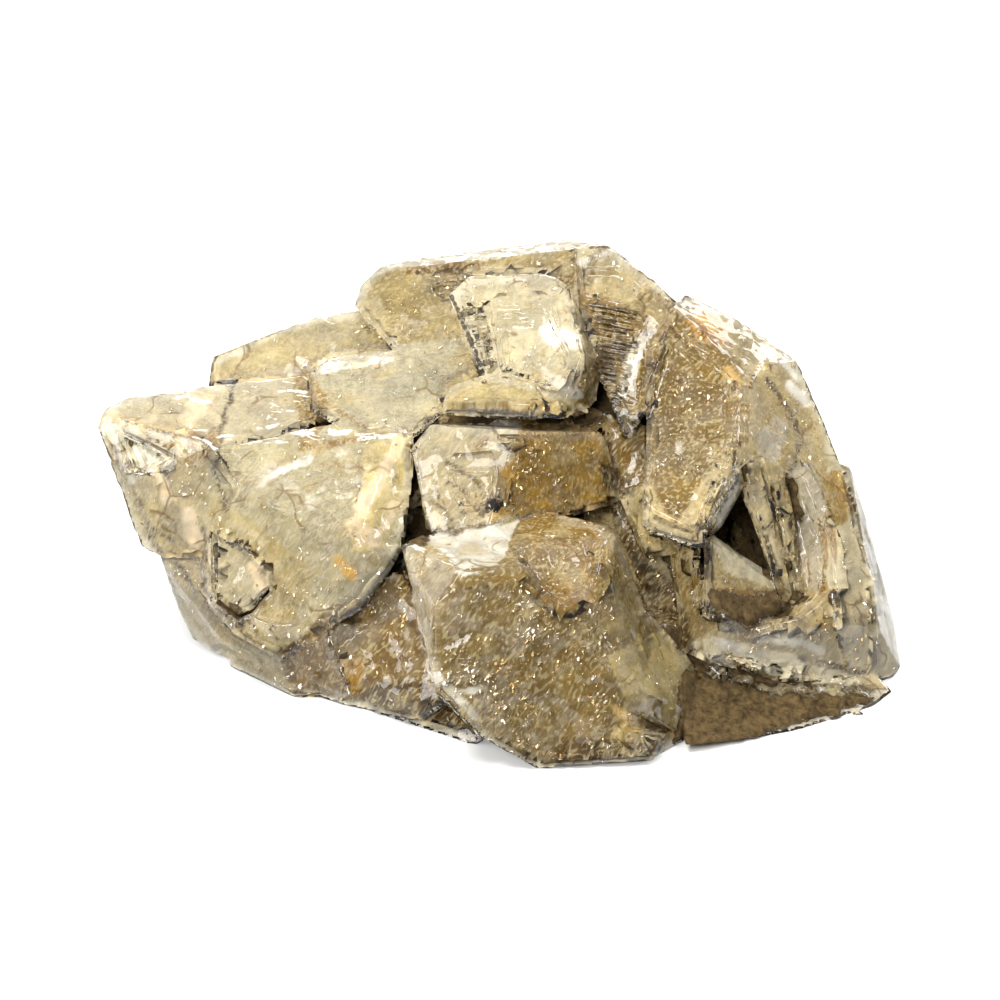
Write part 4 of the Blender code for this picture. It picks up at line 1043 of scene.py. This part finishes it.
    grains = node(tree, "ShaderNodeTexNoise", Vector=strokes, Scale=3400.0, Detail=0.0)
    grain = node(
        tree, "ShaderNodeMapRange", Value=grains.outputs["Fac"], From_Min=0.56, From_Max=0.70, To_Max=0.62
    )
    with_clay = node(tree, "ShaderNodeMapRange", Value=clay, To_Min=0.25, To_Max=1.0)
    share = node(
        tree,
        "ShaderNodeMath",
        {"operation": "MULTIPLY"},
        {0: grain.outputs["Result"], 1: with_clay.outputs["Result"]},
    ).outputs[0]
    look = node(
        tree, "ShaderNodeMix", {"data_type": "RGBA"}, {0: share, 6: look, 7: linear("#e6d5a4")}
    ).outputs[2]
    shader = node(tree, "ShaderNodeBsdfPrincipled", Base_Color=look, Roughness=0.85, Specular_IOR_Level=0.2)
    node(tree, "ShaderNodeOutputMaterial", Surface=shader.outputs["BSDF"])
    return material


phantom_clay = ochre_phantom()
kept_creases = np.array([vert[crease_layer] for vert in sheet.verts])
kept_rims = np.array([vert[rim_layer] for vert in sheet.verts])
seen_phantom = finish_piece(sheet, "phantom_seen", phantom_clay)
paint_phantom(seen_phantom, kept_creases, kept_rims)
seen_phantom.visible_shadow = False
deep_phantom = finish_piece(deep, "phantom_deep", phantom_clay)
kept_hidden = np.array([vert[hidden_layer] for vert in deep.verts])
no_marks = np.zeros(len(deep_phantom.data.vertices))
paint_phantom(deep_phantom, no_marks, no_marks)

# %% [markdown]
# Quartz of this kind is full of small healed cracks. A crack is a film of air or water, so it
# mirrors light like silver paper: the white sparkle of the group. Each is a small stretched
# five-sided flake just under the surface. They are sown where the phantom shows, mostly on the
# crystals with much clay, and nearly all lean towards the surface with a small random turn.

# %% Glints of small cracks
SEEN_GLINTS = 6500
HIDDEN_GLINTS = 4000
GLINT_LENGTHS = (0.10, 0.60)
GLINT_SLIMNESS = 0.42
GLINT_DEPTHS = (0.12, 0.5)
GLINTS_WITH_CLAY = 0.75
GLINT_TILT = 0.38
GLINT_TURN = 0.55
GLINT_CRUMPLE = 0.03
BATCH = 120
STREAK_RISE = math.radians(62.0)
sowing = np.random.default_rng(7)


def sow_flakes(piece, chances, count):
    """A bmesh of flakes under the surface, sown near a phantom's corners by their chances."""
    maker = bmesh.new()
    batch = bmesh.new()
    carrier = bpy.data.meshes.new("flake_batch")
    mesh = piece.data
    clay = np.empty(len(mesh.vertices))
    mesh.attributes["clay"].data.foreach_get("value", clay)
    spots = np.array([vert.co for vert in mesh.vertices])
    clusters = smooth_step(noise(spots, 3.2, 83, 3), 0.45, 0.68)
    weights = (1.0 - GLINTS_WITH_CLAY + GLINTS_WITH_CLAY * clay) * (0.12 + clusters) * chances
    chosen = sowing.choice(len(weights), size=count, p=weights / weights.sum())
    streak = Vector(RIGHTWARD * math.cos(STREAK_RISE) + UPWARD * math.sin(STREAK_RISE))
    for turn, number in enumerate(chosen, start=1):
        seed_place = mesh.vertices[int(number)].co
        place, normal, _, _ = fine_tree.find_nearest(seed_place)
        lean = normal + Vector(sowing.normal(0.0, GLINT_TILT, 3))
        along = streak + Vector(sowing.normal(0.0, GLINT_TURN, 3))
        lean.normalize()
        side = lean.cross(along).normalized()
        along = side.cross(lean)
        length = GLINT_LENGTHS[0] + (GLINT_LENGTHS[1] - GLINT_LENGTHS[0]) * sowing.random() ** 2.2
        width = length * GLINT_SLIMNESS * (0.5 + sowing.random())
        depth = GLINT_DEPTHS[0] + (GLINT_DEPTHS[1] - GLINT_DEPTHS[0]) * sowing.random()
        middle = place - normal * depth * MM
        matrix = Matrix.Identity(4)
        matrix.col[0][:3] = along * length / 2.0 * MM
        matrix.col[1][:3] = side * width / 2.0 * MM
        matrix.col[2][:3] = lean * MM
        matrix.col[3][:3] = middle
        bmesh.ops.create_circle(batch, cap_ends=True, segments=5, radius=1.0, matrix=matrix)
        if turn % BATCH == 0 or turn == count:
            batch.to_mesh(carrier)
            maker.from_mesh(carrier)
            batch.clear()
    batch.free()
    bpy.data.meshes.remove(carrier)
    for vert in maker.verts:
        vert.co += Vector(sowing.normal(0.0, GLINT_CRUMPLE * MM, 3))
    return maker


# %% [markdown]
# The mirror of a crack is modelled as a white metal with a satin surface, which takes its light
# from all round. Clay has crept into some cracks, so the white turns to gold in places.

# %% Crack mirror


def crack_mirror():
    """An air film in a healed crack: it mirrors white light, or gold where clay has crept in."""
    material = bpy.data.materials.new("air_film_in_a_crack")
    material.use_nodes = True
    tree = material.node_tree
    shader = tree.nodes["Principled BSDF"]
    where = node(tree, "ShaderNodeTexCoord").outputs["Object"]
    stains = node(tree, "ShaderNodeTexNoise", Vector=where, Scale=330.0, Detail=1.0).outputs["Fac"]
    colours = node(tree, "ShaderNodeValToRGB", Fac=stains)
    ramp = colours.color_ramp.elements
    ramp[0].position = 0.42
    ramp[0].color = linear("#fdf8ec")
    ramp[1].position = 0.62
    ramp[1].color = linear("#efcf94")
    tree.links.new(colours.outputs["Color"], shader.inputs["Base Color"])
    shader.inputs["Metallic"].default_value = 1.0
    shader.inputs["Roughness"].default_value = 0.25
    return material


glints = sow_flakes(seen_phantom, np.ones(len(kept_rims)), SEEN_GLINTS)
more_glints = sow_flakes(deep_phantom, kept_hidden, HIDDEN_GLINTS)
carrier = bpy.data.meshes.new("hidden_glints")
more_glints.to_mesh(carrier)
glints.from_mesh(carrier)
bpy.data.meshes.remove(carrier)
finish_piece(glints, "crack_glints", crack_mirror(), False)

# %% [markdown]
# In the gaps between the crystals, on the open side, sits a crust of dried clay. It is a copy of
# the surface where that is walled in, lifted by rough lumps up to a third of a millimetre. It also
# covers the outside in a few places that the photo shows matte and brown, such as the underside.

# %% Clay crust in the gaps
CRUST_OPENNESS = 0.30
CRUST_THICKNESS = 0.32
CRUST_WHERE_COVERED = 0.07
NO_CRUST = -0.1
CLAY_COVERED = {
    "underside at the right end": [
        (18.6, -17), (27, -19.4), (35.4, -19.6), (38.6, -20), (37, -22), (26, -25), (17, -25.6)
    ],
    "gap beside the left crystal": [(-8.8, -0.6), (-7, -2.6), (-7.6, -4.4), (-9.4, -4.2)],
    "lower edge of the left toe": [
        (-20, -20.6), (-12, -22.6), (-6, -24.4), (-2, -23.6), (-3, -26), (-20, -23)
    ],
    "window's lower edge": [
        (21, -9.4), (24, -9.8), (27.6, -9.6), (28.6, -10.6), (25, -12.6), (21.6, -11)
    ],
}

crust = fine.copy()
crust_places = places_of(crust)
crust_depth = CRUST_OPENNESS - openness_at(crust_places)
crust_view = seen_at(crust_places)
wander = noise(crust_places, 1.8, 103, 3) - 0.5
for corners in CLAY_COVERED.values():
    inside = inside_outline(crust_view[:, 0] + wander, crust_view[:, 1] - wander, corners)
    crust_depth[inside] = np.maximum(crust_depth[inside], CRUST_WHERE_COVERED)
crust_depth += 0.14 * (noise(crust_places, 2.2, 101, 3) - 0.5)
lumps = 0.35 + 0.65 * noise(crust_places, 0.9, 105, 2)
lift = CRUST_THICKNESS * np.clip(crust_depth / 0.10, -0.6, 1.0) * lumps
lift = np.where(crust_places[:, 2] > FOOT_CLEAR * MM, lift, NO_CRUST)
for vert, amount in zip(crust.verts, lift):
    vert.co += vert.normal * amount * MM
bare = [face for face in crust.faces if max(lift[vert.index] for vert in face.verts) < 0.01]
bmesh.ops.delete(crust, geom=bare, context="FACES")


def dried_clay():
    """Iron clay dried in the open: earthy, crumbly and quite without shine."""
    material = bpy.data.materials.new("dried_iron_clay")
    material.use_nodes = True
    tree = material.node_tree
    shader = tree.nodes["Principled BSDF"]
    where = node(tree, "ShaderNodeTexCoord").outputs["Object"]
    crumbs = node(
        tree, "ShaderNodeTexNoise", Vector=where, Scale=1400.0, Detail=5.0, Roughness=0.7
    ).outputs["Fac"]
    colours = node(tree, "ShaderNodeValToRGB", Fac=crumbs)
    ramp = colours.color_ramp.elements
    ramp[0].position = 0.32
    ramp[0].color = linear("#2f2412")
    ramp[1].position = 0.70
    ramp[1].color = linear("#6f5b3a")
    tree.links.new(colours.outputs["Color"], shader.inputs["Base Color"])
    bump = node(tree, "ShaderNodeBump", Strength=0.8, Distance=0.0002, Height=crumbs)
    tree.links.new(bump.outputs["Normal"], shader.inputs["Normal"])
    shader.inputs["Roughness"].default_value = 0.92
    shader.inputs["Specular IOR Level"].default_value = 0.25
    return material


finish_piece(crust, "crevice_clay", dried_clay())

# %% [markdown]
# The stage is a pale floor and soft light from above, from the front left and from behind. Small
# soft boxes are mirrored by the few smooth faces that the photo shows white. The surround is dark
# on the camera's side, since a bright one would lay a white shine over the whole crystal.

# %% Floor and light
floor_maker = bmesh.new()
bmesh.ops.create_grid(floor_maker, x_segments=1, y_segments=1, size=3.0)
floor_mesh = bpy.data.meshes.new("floor")
floor_maker.to_mesh(floor_mesh)
floor_maker.free()
floor = bpy.data.objects.new("floor", floor_mesh)
bpy.context.scene.collection.objects.link(floor)
paper = bpy.data.materials.new("matte_white_paper")
paper.use_nodes = True
paper.node_tree.nodes["Principled BSDF"].inputs["Base Color"].default_value = linear("#f4f3f0")
paper.node_tree.nodes["Principled BSDF"].inputs["Roughness"].default_value = 0.9
floor_mesh.materials.append(paper)


def soft_box(name, place, width, power, mirrored=True):
    """A square lamp that points at the group. Only a mirrored one shows in shiny faces."""
    data = bpy.data.lights.new(name, "AREA")
    data.shape = "SQUARE"
    data.size = width
    data.energy = power
    lamp = bpy.data.objects.new(name, data)
    lamp.location = place
    lamp.rotation_euler = (Vector((0.0, 0.0, 0.015)) - Vector(place)).to_track_quat(
        "-Z", "Y"
    ).to_euler()
    lamp.visible_glossy = mirrored
    bpy.context.scene.collection.objects.link(lamp)


soft_box("key_light", (-0.23, -0.035, 0.66), 0.24, 3.2, False)
soft_box("front_light", (-0.25, -0.66, 0.54), 0.40, 5.3)
soft_box("back_light", (-0.02, 0.56, 0.22), 0.16, 0.45)
soft_box("fill_light", (0.28, 0.70, 0.48), 0.40, 2.6)
soft_box("left_light", (-0.53, -0.11, 0.27), 0.22, 0.9)
soft_box("right_light", (0.30, -0.09, 0.52), 0.16, 0.7)

world = bpy.data.worlds.new("white_surround")
world.use_nodes = True
sky_tree = world.node_tree
toward = node(sky_tree, "ShaderNodeTexCoord").outputs["Generated"]
bright_side = node(
    sky_tree, "ShaderNodeVectorMath", {"operation": "DOT_PRODUCT"}, {0: toward, 1: (-0.35, 0.35, 0.87)}
)
level = node(
    sky_tree,
    "ShaderNodeMapRange",
    {"clamp": True},
    Value=bright_side.outputs["Value"],
    From_Min=-0.4,
    From_Max=0.9,
    To_Min=0.28,
    To_Max=0.95,
).outputs["Result"]
sky_tree.links.new(level, sky_tree.nodes["Background"].inputs["Strength"])
sky_tree.nodes["Background"].inputs["Color"].default_value = linear("#ffffff")
scene = bpy.context.scene
scene.world = world
scene.view_settings.view_transform = "Standard"
scene.cycles.max_bounces = 9
scene.cycles.transmission_bounces = 8
scene.cycles.glossy_bounces = 6
scene.cycles.diffuse_bounces = 2
scene.cycles.caustics_refractive = False
scene.cycles.adaptive_threshold = 0.03
scene.cycles.caustics_reflective = False
print("lights:", [light.name for light in bpy.data.lights])
